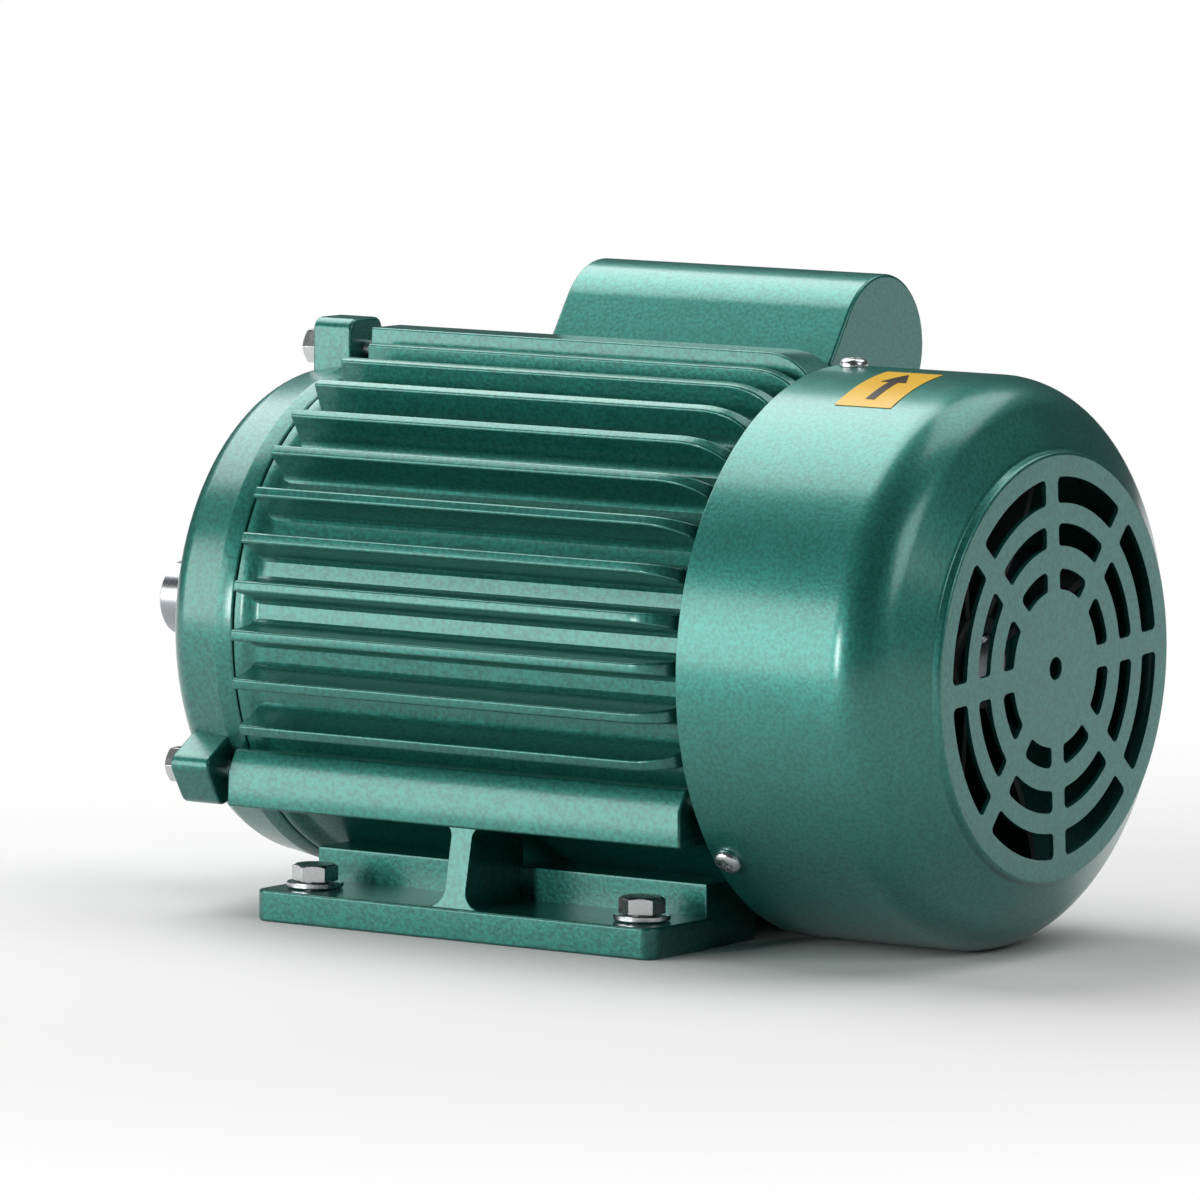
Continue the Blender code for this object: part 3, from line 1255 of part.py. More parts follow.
def cooling_fan(shaft_axis):
    """The radial fan: hub, back disc and straight blades, so that it blows alike both ways round."""
    bore = FAN_SEAT_RADIUS + FIT_GAP

    def hub(bm):
        outline = [
            (FAN_START, bore),
            (FAN_START, FAN_DISC_RADIUS),
            (FAN_START + FAN_DISC_SHEET, FAN_DISC_RADIUS),
            (FAN_START + 2 * FAN_DISC_SHEET, FAN_HUB_RADIUS),
            (FAN_HUB_END, FAN_HUB_RADIUS - FAN_HUB_TAPER),
            (FAN_HUB_END, bore),
        ]
        turned(bm, outline, STEPS_SHAFT)

    def blades(bm):
        low = FAN_HUB_RADIUS - FAN_HUB_TAPER - SINK
        end = FAN_START + FAN_BLADE_LENGTH
        hub_end = FAN_HUB_END - SINK
        plan = [
            (FAN_START + FAN_DISC_SHEET / 2, low),
            (FAN_START + FAN_DISC_SHEET / 2, FAN_RADIUS),
            (end - FAN_BLADE_BEVEL, FAN_RADIUS),
            (end, FAN_RADIUS - FAN_BLADE_BEVEL),
            (end, FAN_DISC_RADIUS),
            (hub_end, low),
        ]
        half = FAN_BLADE_SHEET / 2
        for count in range(FAN_BLADES):
            angle = 360 / FAN_BLADES * (count + 0.5)
            lofted(bm, [[polar(x, r, angle, side) for x, r in plan] for side in (-half, half)])

    piece("cooling_fan", shaft_axis, BLACK_PLASTIC, hub, (blades,))

    def clip(bm):
        inner = FAN_SEAT_RADIUS - CLIP_DEPTH + FIT_GAP
        mouth = math.degrees(math.asin(CLIP_MOUTH / 2 / inner))
        outline = arc((0, 0), CLIP_RADIUS, mouth, 360 - mouth, STEPS_SMALL)
        outline += arc((0, 0), inner, 360 - mouth, mouth, STEPS_SMALL)
        along_x(bm, outline, CLIP_START, CLIP_END)

    piece("fan_clip", shaft_axis, SPRING_STEEL, clip)


def cowl_wall(offset):
    """The cowl's turned line from its rim to the foot of its grille disc, moved inwards by an offset."""
    slope = math.radians(COWL_SHOULDER_TURN)
    foot = (COWL_FACE - GRILLE_STEP, GRILLE_RADIUS + COWL_SHEET)
    shoulder_end = COWL_RADIUS - COWL_SHOULDER_RADIUS * (1 - math.cos(slope))
    cone_length = (shoulder_end - foot[1]) / math.tan(slope)
    centre_x = foot[0] - cone_length - COWL_SHOULDER_RADIUS * math.sin(slope)
    centre = (centre_x, COWL_RADIUS - COWL_SHOULDER_RADIUS)
    line = [(COWL_RIM, COWL_RADIUS - offset)]
    line += arc(centre, COWL_SHOULDER_RADIUS - offset, 90, 90 - COWL_SHOULDER_TURN, STEPS_ARC)
    line.append((foot[0] - offset * math.cos(slope / 2), foot[1] - offset * math.sin(slope / 2)))
    return line


def grille_slot(bm, low, high, middle, x_range):
    """One curved slot between two spokes of even width, its corners rounded off."""
    half_sector = 180 / GRILLE_SECTORS
    outline = []
    for radius, toward in ((high, 1), (low, -1)):
        near = radius - toward * GRILLE_CORNER
        side = math.degrees(math.asin(GRILLE_SPOKE / 2 / near))
        inset = math.degrees(math.asin((GRILLE_SPOKE / 2 + GRILLE_CORNER) / radius))
        spread = half_sector - inset
        outline.append((near, -toward * (half_sector - side)))
        for share in (-1, 0, 1):
            outline.append((radius, toward * share * spread))
        outline.append((near, toward * (half_sector - side)))
    lofted(bm, [[polar(x, radius, middle + turn) for radius, turn in outline] for x in x_range])


def fan_cowl(base):
    """The pressed cowl: straight skirt, round shoulder, slanted ring and a raised disc with slots."""
    back = COWL_FACE - COWL_SHEET

    def shell(bm):
        outline = cowl_wall(0)
        outline += [(COWL_FACE, GRILLE_RADIUS), (COWL_FACE, GRILLE_HOLE)]
        outline += [(back, GRILLE_HOLE), (back, GRILLE_RADIUS - COWL_SHEET)]
        outline += reversed(cowl_wall(COWL_SHEET))
        turned(bm, outline, STEPS_COWL)

    def slots(bm):
        x_range = (back - OVERSHOOT, COWL_FACE + OVERSHOOT)
        for low, high in GRILLE_RINGS:
            for count in range(GRILLE_SECTORS):
                middle = GRILLE_TURN + 360 / GRILLE_SECTORS * (count + 0.5)
                grille_slot(bm, low, high, middle, x_range)

    def screw_holes(bm):
        for angle in COWL_SCREW_ANGLES:
            start = polar(COWL_SCREW_X, COWL_INNER - OVERSHOOT, angle)
            end = polar(COWL_SCREW_X, COWL_RADIUS + OVERSHOOT, angle)
            rod(bm, start, end, COWL_SCREW_SHANK + FIT_GAP)

    piece("fan_cowl", base, GREEN_ENAMEL, shell, (), (slots, screw_holes))


def numbered(name, base, finish, draws):
    """Like pieces, each with its own number."""
    for number, draw in enumerate(draws, start=1):
        piece(f"{name}_{number}", base, finish, draw)


def bolt_drawing(seat, direction, head, shank, hexagonal=True):
    """A function that draws one bolt or screw."""
    return lambda bm: bolt(bm, seat, direction, head, shank, hexagonal)


def shield_bolts(base):
    """The bolts that hold the end shields to the rails."""
    head = (SHIELD_BOLT_HEAD, SHIELD_BOLT_HEAD_HEIGHT)
    drive_seat = FRAME_DRIVE_FACE - EAR_GAP - EAR_LENGTH - FIT_GAP
    drive_shank = (SHIELD_BOLT_SHANK, FRAME_DRIVE_FACE + SHIELD_BOLT_BITE - drive_seat)
    fan_seat = FAN_WALL_OUTER + FIT_GAP
    fan_shank = (SHIELD_BOLT_SHANK, fan_seat - FRAME_FAN_FACE + SHIELD_BOLT_BITE)
    towards_fan = Vector((1, 0, 0))
    drive = []
    fan = []
    for angle in RAIL_ANGLES:
        place = polar(drive_seat, DRIVE_BOLT_RADIUS, angle)
        drive.append(bolt_drawing(place, towards_fan, head, drive_shank))
        place = polar(fan_seat, FAN_BOLT_RADIUS, angle)
        fan.append(bolt_drawing(place, -towards_fan, head, fan_shank))
    numbered("drive_shield_bolt", base, ZINC, drive)
    numbered("fan_shield_bolt", base, ZINC, fan)


def cover_and_cowl_screws(base):
    """The round-headed screws of the cowl and of the capacitor cover."""
    head = (COWL_SCREW_HEAD, COWL_SCREW_HEAD_HEIGHT)
    shank = (COWL_SCREW_SHANK, COWL_SHEET + COWL_SCREW_BITE)
    cowl = []
    for angle in COWL_SCREW_ANGLES:
        place = polar(COWL_SCREW_X, COWL_RADIUS + FIT_GAP, angle)
        cowl.append(bolt_drawing(place, -polar(0, 1, angle), head, shank, False))
    numbered("cowl_screw", base, ZINC, cowl)
    lift = CAP_COVER_START + CAP_COVER_SHEET + 2 * FIT_GAP
    head = (COVER_SCREW_HEAD, COVER_SCREW_HEAD_HEIGHT)
    shank = (COVER_SCREW_SHANK, lift - CAP_SEAT + COVER_SCREW_BITE)
    cover = []
    for x in COVER_SCREW_PLACES:
        place = polar(x, lift, CAP_ANGLE, CAP_TAB_SIDE)
        cover.append(bolt_drawing(place, -polar(0, 1, CAP_ANGLE), head, shank, False))
    numbered("cover_screw", base, ZINC, cover)


def hold_down_bolts(base):
    """The foot bolts on their washers, with shanks that end above the mounting plane."""
    washer_bottom = PLATE_TOP + FIT_GAP
    seat = washer_bottom + WASHER_SHEET + FIT_GAP
    head = (FOOT_BOLT_HEAD, FOOT_BOLT_HEAD_HEIGHT)
    shank = (FOOT_BOLT_SHANK, seat + AXIS_HEIGHT - FOOT_BOLT_CLEARANCE)
    bolts = []
    washers = []
    for x, y in foot_places():
        bolts.append(bolt_drawing(Vector((x, y, seat)), Vector((0, 0, -1)), head, shank))
        washers.append(washer_drawing(Vector((x, y, washer_bottom))))
    numbered("foot_bolt", base, ZINC, bolts)
    numbered("foot_washer", base, ZINC, washers)


def washer_drawing(bottom):
    """A function that draws one flat washer."""
    up = Vector((0, 0, WASHER_SHEET))
    hole = FOOT_BOLT_SHANK + FIT_GAP

    def draw(bm):
        outline = [(0, hole), (0, WASHER_RADIUS), (WASHER_SHEET, WASHER_RADIUS), (WASHER_SHEET, hole)]
        turned(bm, outline, STEPS_SMALL)
        upright = up.to_track_quat("X", "Y").to_matrix()
        bmesh.ops.rotate(bm, verts=bm.verts, cent=(0, 0, 0), matrix=upright)
        bmesh.ops.translate(bm, verts=bm.verts, vec=bottom)

    return draw


def cover_plan(inset):
    """The cover's footprint on its seat, drawn in by an inset, as (x, across) points."""
    start = CAP_COVER_DRIVE_END + inset
    end = CAP_COVER_FAN_END - inset
    half = CAP_COVER_RADIUS - inset
    return [(start, -half), (end, -half), (end, half), (start, half)]


def tabbed_plan():
    """The cover's footprint with its two screw tabs, as (x, across) points."""
    low, right, high, left = cover_plan(0)
    near = CAP_TAB_SIDE - CAP_TAB_WIDTH / 2
    far = CAP_TAB_SIDE + CAP_TAB_WIDTH / 2
    drive = CAP_COVER_DRIVE_END - CAP_TAB_LENGTH
    fan = CAP_COVER_FAN_END + CAP_TAB_LENGTH
    fan_tab = [(right[0], near), (fan, near), (fan, far), (right[0], far)]
    drive_tab = [(left[0], far), (drive, far), (drive, near), (left[0], near)]
    return [low, right, *fan_tab, high, left, *drive_tab]


def seat_plate(bm, plan, bottom, top):
    """A flat piece with a plan of (x, across) points, between two heights over the shaft."""
    lofted(bm, [[polar(x, up, CAP_ANGLE, side) for x, side in plan] for up in (bottom, top)])


def cover_tabs(bm):
    """The two screw tabs past the ends of the cover."""
    across = (CAP_TAB_SIDE - CAP_TAB_WIDTH / 2, CAP_TAB_SIDE + CAP_TAB_WIDTH / 2)
    bottom = CAP_COVER_START + FIT_GAP
    drive = (CAP_COVER_DRIVE_END - CAP_TAB_LENGTH, CAP_COVER_DRIVE_END + CAP_COVER_SHEET / 2)
    fan = (CAP_COVER_FAN_END - CAP_COVER_SHEET / 2, CAP_COVER_FAN_END + CAP_TAB_LENGTH)
    for x_range in (drive, fan):
        seat_block(bm, x_range, across, (bottom, bottom + CAP_COVER_SHEET))


def tab_holes(bm):
    for x in COVER_SCREW_PLACES:
        start = polar(x, CAP_SEAT, CAP_ANGLE, CAP_TAB_SIDE)
        end = polar(x, CAP_COVER_CENTRE, CAP_ANGLE, CAP_TAB_SIDE)
        rod(bm, start, end, COVER_SCREW_SHANK + FIT_GAP)


def dome_outline(radius, bottom):
    """The cover's upright sides and round top, as (across, height) points."""
    return [(radius, bottom)] + arc((0, CAP_COVER_CENTRE), radius, 0, 180, STEPS_SMALL) + [(-radius, bottom)]


def capacitor_cover(base):
    """The round-topped sheet cover over the capacitor, with its gasket."""

    def dome(bm):
        outline = dome_outline(CAP_COVER_RADIUS, CAP_COVER_START)
        on_seat(bm, outline, CAP_COVER_DRIVE_END, CAP_COVER_FAN_END)

    def hollow(bm):
        outline = dome_outline(CAP_WALL_INNER, CAP_COVER_START - OVERSHOOT)
        start = CAP_COVER_DRIVE_END + CAP_COVER_SHEET
        on_seat(bm, outline, start, CAP_COVER_FAN_END - CAP_COVER_SHEET)

    def gland_hole(bm):
        start = polar(CAP_COVER_DRIVE_END - OVERSHOOT, GLAND_CENTRE, CAP_ANGLE, GLAND_SIDE)
        end = polar(CAP_COVER_DRIVE_END + OVERSHOOT, GLAND_CENTRE, CAP_ANGLE, GLAND_SIDE)
        rod(bm, start, end, GLAND_THREAD + FIT_GAP)

    piece("capacitor_cover", base, GREEN_ENAMEL, dome, (cover_tabs,), (hollow, gland_hole, tab_holes))

    def sheet(bm):
        top = CAP_GASKET_START + CAP_GASKET_SHEET
        seat_plate(bm, tabbed_plan(), CAP_GASKET_START, top)

    def window(bm):
        plan = cover_plan(CAP_GASKET_RIM)
        seat_plate(bm, plan, CAP_SEAT - OVERSHOOT, CAP_COVER_START + OVERSHOOT)

    piece("capacitor_gasket", base, RUBBER, sheet, (), (window, tab_holes))


def capacitor(base):
    """The start capacitor with its two terminal blades, and the strap that holds it down."""

    def can(bm):
        rings = []
        profile = (
            (CAP_DRIVE_FACE, CAP_RADIUS - CAP_EDGE),
            (CAP_DRIVE_FACE + CAP_EDGE, CAP_RADIUS),
            (CAP_FAN_FACE - CAP_EDGE, CAP_RADIUS),
            (CAP_FAN_FACE, CAP_RADIUS - CAP_EDGE),
        )
        for x, radius in profile:
            here = polar(x, CAP_CENTRE, CAP_ANGLE)
            rings.append(ring(here, here + Vector((1, 0, 0)), radius, STEPS_SHAFT))
        lofted(bm, rings)

    def blades(bm):
        half = CAP_BLADE_SHEET / 2
        tall = CAP_BLADE_WIDTH / 2
        x_range = (CAP_DRIVE_FACE - CAP_BLADE_HEIGHT, CAP_DRIVE_FACE + SINK)
        for side in (-CAP_BLADE_SPREAD, CAP_BLADE_SPREAD):
            heights = (CAP_CENTRE - tall, CAP_CENTRE + tall)
            seat_block(bm, x_range, (side - half, side + half), heights)

    piece("capacitor", base, BLACK_PLASTIC, can, (blades,))

    def strap(bm):
        inner = CAP_RADIUS + FIT_GAP
        outer = inner + CLAMP_SHEET
        bottom = CAP_SEAT + FIT_GAP
        foot = bottom + CLAMP_SHEET
        outline = [(outer, bottom)]
        outline += arc((0, CAP_CENTRE), outer, 0, 180, STEPS_SMALL)
        outline += [(-outer, bottom), (CLAMP_FOOT - outer, bottom), (CLAMP_FOOT - outer, foot), (-inner, foot)]
        outline += arc((0, CAP_CENTRE), inner, 180, 0, STEPS_SMALL)
        outline += [(inner, foot), (outer - CLAMP_FOOT, foot), (outer - CLAMP_FOOT, bottom)]
        middle = (CAP_DRIVE_FACE + CAP_FAN_FACE) / 2
        on_seat(bm, outline, middle - CLAMP_WIDTH / 2, middle + CLAMP_WIDTH / 2)

    piece("capacitor_clamp", base, ZINC, strap)


def terminal_block(base):
    """The connector block beside the capacitor, with ribs between its ways."""

    def comb(bm):
        bottom = CAP_SEAT + FIT_GAP
        floor = bottom + TERMINAL_HEIGHT - TERMINAL_RIB_HEIGHT
        top = bottom + TERMINAL_HEIGHT
        pitch = (TERMINAL_WIDTH - TERMINAL_RIB) / TERMINAL_WAYS
        outline = [(-TERMINAL_WIDTH / 2, bottom)]
        for way in range(TERMINAL_WAYS + 1):
            left = -TERMINAL_WIDTH / 2 + pitch * way
            outline += [(left, top), (left + TERMINAL_RIB, top)]
            if way < TERMINAL_WAYS:
                outline += [(left + TERMINAL_RIB, floor), (left + pitch, floor)]
        outline.append((TERMINAL_WIDTH / 2, bottom))
        on_seat(bm, outline, TERMINAL_START, TERMINAL_START + TERMINAL_LENGTH)

    piece("terminal_block", base, BROWN_BOARD, comb)


def cable_gland(base):
    """The cable gland through the cover's end wall, open along its bore, and its lock nut inside."""

    def gland_ring(x, radius, flats=False):
        here = polar(x, GLAND_CENTRE, CAP_ANGLE, GLAND_SIDE)
        return ring(here, here + Vector((1, 0, 0)), radius, STEPS_SMALL, flats)

    def body(bm):
        hex_start = GLAND_FACE - GLAND_HEX_HEIGHT
        cap_start = hex_start - GLAND_CAP_LENGTH
        rings = [
            gland_ring(cap_start, GLAND_CAP - GLAND_CHAMFER),
            gland_ring(cap_start + GLAND_CHAMFER, GLAND_CAP),
            gland_ring(hex_start, GLAND_CAP),
            gland_ring(hex_start, GLAND_HEX, True),
            gland_ring(GLAND_FACE, GLAND_HEX, True),
            gland_ring(GLAND_FACE, GLAND_THREAD),
            gland_ring(GLAND_END, GLAND_THREAD),
        ]
        lofted(bm, rings)

    def bore(radius):
        def draw(bm):
            start = GLAND_FACE - GLAND_HEX_HEIGHT - GLAND_CAP_LENGTH - OVERSHOOT
            lofted(bm, [gland_ring(start, radius), gland_ring(GLAND_END + OVERSHOOT, radius)])

        return draw

    def nut(bm):
        lofted(bm, [gland_ring(GLAND_NUT_START, GLAND_NUT, True), gland_ring(GLAND_NUT_END, GLAND_NUT, True)])

    piece("cable_gland", base, BLACK_PLASTIC, body, (), (bore(GLAND_BORE),))
    piece("gland_nut", base, BLACK_PLASTIC, nut, (), (bore(GLAND_THREAD + FIT_GAP),))


def build_motor():
    clear_scene()
    centre = (0, 0, AXIS_HEIGHT)
    base = empty("housing_axis", centre)
    shaft_axis = empty("rotor_axis", centre)
    drive_cage = empty("drive_cage_axis", centre)
    fan_cage = empty("fan_cage_axis", centre)
    collar_axis = empty("collar_axis", centre)
    shaft_line = Vector(centre)
    weight_axes = []
    for letter, angle in zip("ab", WEIGHT_ANGLES):
        place = shaft_line + polar(WEIGHT_PIVOT_X, WEIGHT_PIVOT_RADIUS, angle)
        weight_axes.append(empty(f"weight_{letter}_axis", place))
    arm_place = shaft_line + polar(CONTACT_PIVOT_X, CONTACT_PIVOT_RADIUS, CONTACT_ANGLE)
    arm_axis = empty("contact_arm_axis", arm_place)

    stator_frame(base)
    stator_core(base)
    stator_winding(base)
    drive_end_shield(base)
    fan_end_shield(base)
    drive_sizes = (
        DRIVE_BEARING_START,
        DRIVE_BEARING_BORE,
        DRIVE_BEARING_OUTSIDE,
        DRIVE_BEARING_WIDTH,
        DRIVE_BALL_RADIUS,
    )
    fan_sizes = (
        FAN_BEARING_START,
        FAN_BEARING_BORE,
        FAN_BEARING_OUTSIDE,
        FAN_BEARING_WIDTH,
        FAN_BALL_RADIUS,
    )
    bearing("drive_end", base, shaft_axis, drive_cage, drive_sizes)
    bearing("fan_end", base, shaft_axis, fan_cage, fan_sizes)
    wave_spring(base)
    shaft(shaft_axis)
    shaft_seal(shaft_axis)
    rotor(shaft_axis)
    start_switch_rotor(shaft_axis, collar_axis, weight_axes)
    start_switch_stator(base, arm_axis)
    cooling_fan(shaft_axis)
    fan_cowl(base)
    capacitor_cover(base)
    capacitor(base)
    terminal_block(base)
    cable_gland(base)
    shield_bolts(base)
    cover_and_cowl_screws(base)
    hold_down_bolts(base)


build_motor()
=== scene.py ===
# %% [markdown]
# # A foot-mounted electric motor
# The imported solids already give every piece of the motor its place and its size. This lesson dresses
# them: almost every piece is modelled again with round edges and smooth curves, every surface gets a
# finish with the detail of the real one, and a small studio is put round the motor.
# The shaft runs along X, with the fan end at +X, and the feet stand on z = 0.

import math

import bpy
from mathutils import Matrix, Quaternion, Vector


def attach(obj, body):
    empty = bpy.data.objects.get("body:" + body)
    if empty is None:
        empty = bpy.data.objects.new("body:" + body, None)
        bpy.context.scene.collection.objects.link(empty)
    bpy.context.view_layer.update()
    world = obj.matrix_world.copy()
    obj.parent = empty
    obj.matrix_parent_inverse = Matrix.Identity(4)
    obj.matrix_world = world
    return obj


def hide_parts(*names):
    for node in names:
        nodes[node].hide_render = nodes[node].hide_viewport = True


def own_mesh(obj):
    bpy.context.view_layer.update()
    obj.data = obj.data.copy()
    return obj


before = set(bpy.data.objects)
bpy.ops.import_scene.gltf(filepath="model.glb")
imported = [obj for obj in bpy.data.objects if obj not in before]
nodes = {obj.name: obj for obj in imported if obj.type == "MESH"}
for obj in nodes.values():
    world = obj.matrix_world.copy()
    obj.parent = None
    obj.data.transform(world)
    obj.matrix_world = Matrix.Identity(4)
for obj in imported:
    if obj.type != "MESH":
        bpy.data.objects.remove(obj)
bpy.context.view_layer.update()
MM = 0.001
AXIS_HEIGHT = 90.0

# %% [markdown]
# ## A few tools for modelling by hand
# A turned piece, such as a cover or a shaft, starts as a line: a plane is merged to one vertex, and
# that vertex is extruded from point to point, as with the E key. Spin then sweeps the line round the
# shaft. A straight piece starts as the same kind of line, closed, filled and extruded. Measures are in
# millimetres here, and everything is drawn round an axis at height zero, then lifted to the shaft.

# %% Selecting and drawing
WELD = 0.004 * MM


def fresh():
    """Object mode with nothing selected, so that an operator meets only what it should."""
    if bpy.context.mode != "OBJECT":
        bpy.ops.object.mode_set(mode="OBJECT")
    bpy.ops.object.select_all(action="DESELECT")


def pick(obj):
    """The one object that the next operators work on."""
    fresh()
    obj.select_set(True)
    bpy.context.view_layer.objects.active = obj


def drawn(name, points):
    """A line drawn point by point, left in edit mode with everything selected."""
    fresh()
    bpy.ops.mesh.primitive_plane_add(size=MM, location=(0, 0, 0))
    obj = bpy.context.object
    obj.name = name
    obj.data.name = name
    bpy.ops.object.mode_set(mode="EDIT")
    bpy.ops.mesh.select_all(action="SELECT")
    bpy.ops.mesh.merge(type="CENTER")
    places = [Vector(point) * MM for point in points]
    bpy.ops.transform.translate(value=places[0])
    for here, there in zip(places, places[1:]):
        bpy.ops.mesh.extrude_vertices_move(TRANSFORM_OT_translate={"value": there - here})
    bpy.ops.mesh.select_all(action="SELECT")
    return obj


def closed_up(obj):
    """The end of a shape in edit mode: doubles merged, faces turned outwards, back to object mode."""
    bpy.ops.mesh.select_all(action="SELECT")
    bpy.ops.mesh.remove_doubles(threshold=WELD)
    bpy.ops.mesh.normals_make_consistent(inside=False)
    bpy.ops.object.mode_set(mode="OBJECT")
    return obj


def turned(name, outline, steps=96):
    """A piece turned round the shaft from (x, radius) points; a ring unless it starts on the axis."""
    points = [(x, 0, radius) for x, radius in outline]
    if outline[0][1] > 0:
        points.append(points[0])
    obj = drawn(name, points)
    bpy.ops.mesh.spin(steps=steps, angle=2 * math.pi, center=(0, 0, 0), axis=(1, 0, 0))
    return closed_up(obj)


def prism(name, points, depth):
    """A closed outline of (x, y, z) points, filled and extruded by a vector."""
    obj = drawn(name, [*points, points[0]])
    bpy.ops.mesh.remove_doubles(threshold=WELD)
    bpy.ops.mesh.edge_face_add()
    bpy.ops.mesh.extrude_region_move(TRANSFORM_OT_translate={"value": Vector(depth) * MM})
    return closed_up(obj)


def along(name, section, start, end):
    """A section of (y, z) points, extruded along the shaft."""
    return prism(name, [(start, y, z) for y, z in section], (end - start, 0, 0))


def across(name, side_view, start, end):
    """A side view of (x, z) points, extruded across the shaft."""
    return prism(name, [(x, start, z) for x, z in side_view], (0, end - start, 0))


def upright(name, plan, low, high):
    """A plan of (x, y) points, extruded upwards."""
    return prism(name, [(x, y, low) for x, y in plan], (0, 0, high - low))


# %% [markdown]
# Outlines are made of corners and round stretches, so a few functions give their points: an arc, a whole
# circle, an oblong, and the mirror image that completes a half.

# %% Points of an outline
def arc(centre, radius, start, end, steps):
    """Points on an arc in a plane, with angles in degrees."""
    turns = [math.radians(start + (end - start) * step / steps) for step in range(steps + 1)]
    return [(centre[0] + radius * math.cos(t), centre[1] + radius * math.sin(t)) for t in turns]


def circle(radius, count):
    """Points evenly round a circle; six of them make a hexagon."""
    return arc((0, 0), radius, 0, 360 * (count - 1) / count, count - 1)


def oblong(first, second):
    """The four corners of an oblong, from its ranges on the two axes of a plane."""
    return [(first[0], second[0]), (first[1], second[0]), (first[1], second[1]), (first[0], second[1])]


def moved(points, first, second):
    """Points moved along the two axes of their plane."""
    return [(a + first, b + second) for a, b in points]


def mirrored(half):
    """A whole outline from the half of it on one side of the second axis."""
    return half + [(-a, b) for a, b in reversed(half)]


# %% [markdown]
# What repeats is drawn once, at the top of the motor, and turned to its places. Shapes are joined or cut by
# an exact boolean. A bevel then rounds the edges, because no edge of a casting or a pressing is sharp,
# and the weighted normals keep flat faces flat beside it.

# %% Copying, joining and finishing
SMOOTH_UNDER = math.radians(34)


def copy_of(obj, name, move):
    """Another of the same piece, with its own mesh, moved by a matrix."""
    twin = obj.copy()
    twin.data = obj.data.copy()
    twin.name = name
    twin.data.name = name
    twin.data.transform(move)
    bpy.context.scene.collection.objects.link(twin)
    return twin


def turn_to(angle):
    """The turn round the shaft from the top to an angle that counts up from the near side."""
    return Matrix.Rotation(math.radians(90 - angle), 4, "X")


def joined(name, parts):
    """Several shapes in one object."""
    fresh()
    for part in parts:
        part.select_set(True)
    bpy.context.view_layer.objects.active = parts[0]
    bpy.ops.object.join()
    parts[0].name = name
    return parts[0]


def all_round(first, count):
    """A shape and its copies, evenly round the shaft, in one object."""
    turns = [Matrix.Rotation(2 * math.pi * step / count, 4, "X") for step in range(1, count)]
    return joined(first.name, [first, *[copy_of(first, first.name, turn) for turn in turns]])


def modify(obj, kind, **settings):
    """A modifier set and applied."""
    pick(obj)
    modifier = obj.modifiers.new(kind, kind)
    for key, value in settings.items():
        setattr(modifier, key, value)
    bpy.ops.object.modifier_apply(modifier=modifier.name)
    return obj


def combine(obj, tool, operation="UNION"):
    """The object joined with, cut by or kept inside a tool, which is used up."""
    modify(obj, "BOOLEAN", operation=operation, solver="EXACT", object=tool)
    bpy.data.objects.remove(tool, do_unlink=True)
    return obj


def combine_at(obj, angle, tool, operation="UNION"):
    """A tool that was drawn at the top, turned to its angle round the shaft and combined."""
    tool.data.transform(turn_to(angle))
    return combine(obj, tool, operation)


def soften(obj, width, segments=2, limit=50, clamp=True):
    """Every edge sharper than the limit rounded over, as a casting or a pressing has it."""
    settings = {"limit_method": "ANGLE", "angle_limit": math.radians(limit), "use_clamp_overlap": clamp}
    return modify(obj, "BEVEL", width=width * MM, segments=segments, **settings)


def dress(obj, material, slot, *replaced, body="housing"):
    """A finished piece: lifted to the shaft, smoothed, given its finish and put on its body."""
    obj.data.transform(Matrix.Translation((0, 0, AXIS_HEIGHT * MM)))
    obj.data.materials.clear()
    obj.data.materials.append(material)
    pick(obj)
    bpy.ops.object.shade_smooth_by_angle(angle=SMOOTH_UNDER)
    modify(obj, "WEIGHTED_NORMAL", keep_sharp=True, weight=90)
    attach(obj, body)
    if replaced:
        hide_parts(*replaced)
    print(obj.name, len(obj.data.polygons), "faces, for", ", ".join(replaced) or "no solid")
    return obj


# %% [markdown]
# ## Finishes
# Each finish starts from the real material. Colours are sRGB hex values turned to linear by one
# function, and one small function adds a node with its settings and links. Patterns read Object
# coordinates, which are in metres, so a noise with features of 2 mm has a scale of 1 / 0.002.

# %% Tools for finishes
PATCH_DETAIL = 3.0
GRAIN_DETAIL = 2.0


def colour(code):
    """An sRGB hex colour as linear red, green, blue and alpha."""
    values = [int(code[place : place + 2], 16) / 255 for place in (1, 3, 5)]
    return (*[v / 12.92 if v <= 0.04045 else ((v + 0.055) / 1.055) ** 2.4 for v in values], 1.0)


def add(tree, kind, settings=None, inputs=None):
    """One node, with its settings, and with each input set or linked."""
    node = tree.nodes.new(kind)
    for key, value in (settings or {}).items():
        setattr(node, key, value)
    for key, value in (inputs or {}).items():
        if isinstance(value, bpy.types.NodeSocket):
            tree.links.new(value, node.inputs[key])
        else:
            node.inputs[key].default_value = value
    return node


def finish(name, **constants):
    """A material with its shader's constants set, and the piece's own coordinates."""
    material = bpy.data.materials.new(name)
    material.use_nodes = True
    tree = material.node_tree
    shader = tree.nodes["Principled BSDF"]
    for key, value in constants.items():
        shader.inputs[key.replace("_", " ").title().replace("Ior", "IOR")].default_value = value
    place = add(tree, "ShaderNodeTexCoord").outputs["Object"]
    return material, tree, shader, place


def noise(tree, place, size, detail):
    """A pattern with features of a size in mm."""
    inputs = {"Vector": place, "Scale": 1 / (size * MM), "Detail": detail}
    return add(tree, "ShaderNodeTexNoise", {}, inputs).outputs["Fac"]


def blended(tree, factor, first, second):
    """A colour that goes from the first to the second; sockets 6, 7 and 2 are the node's colours."""
    inputs = {"Factor": factor, 6: first, 7: second}
    return add(tree, "ShaderNodeMix", {"data_type": "RGBA"}, inputs).outputs[2]


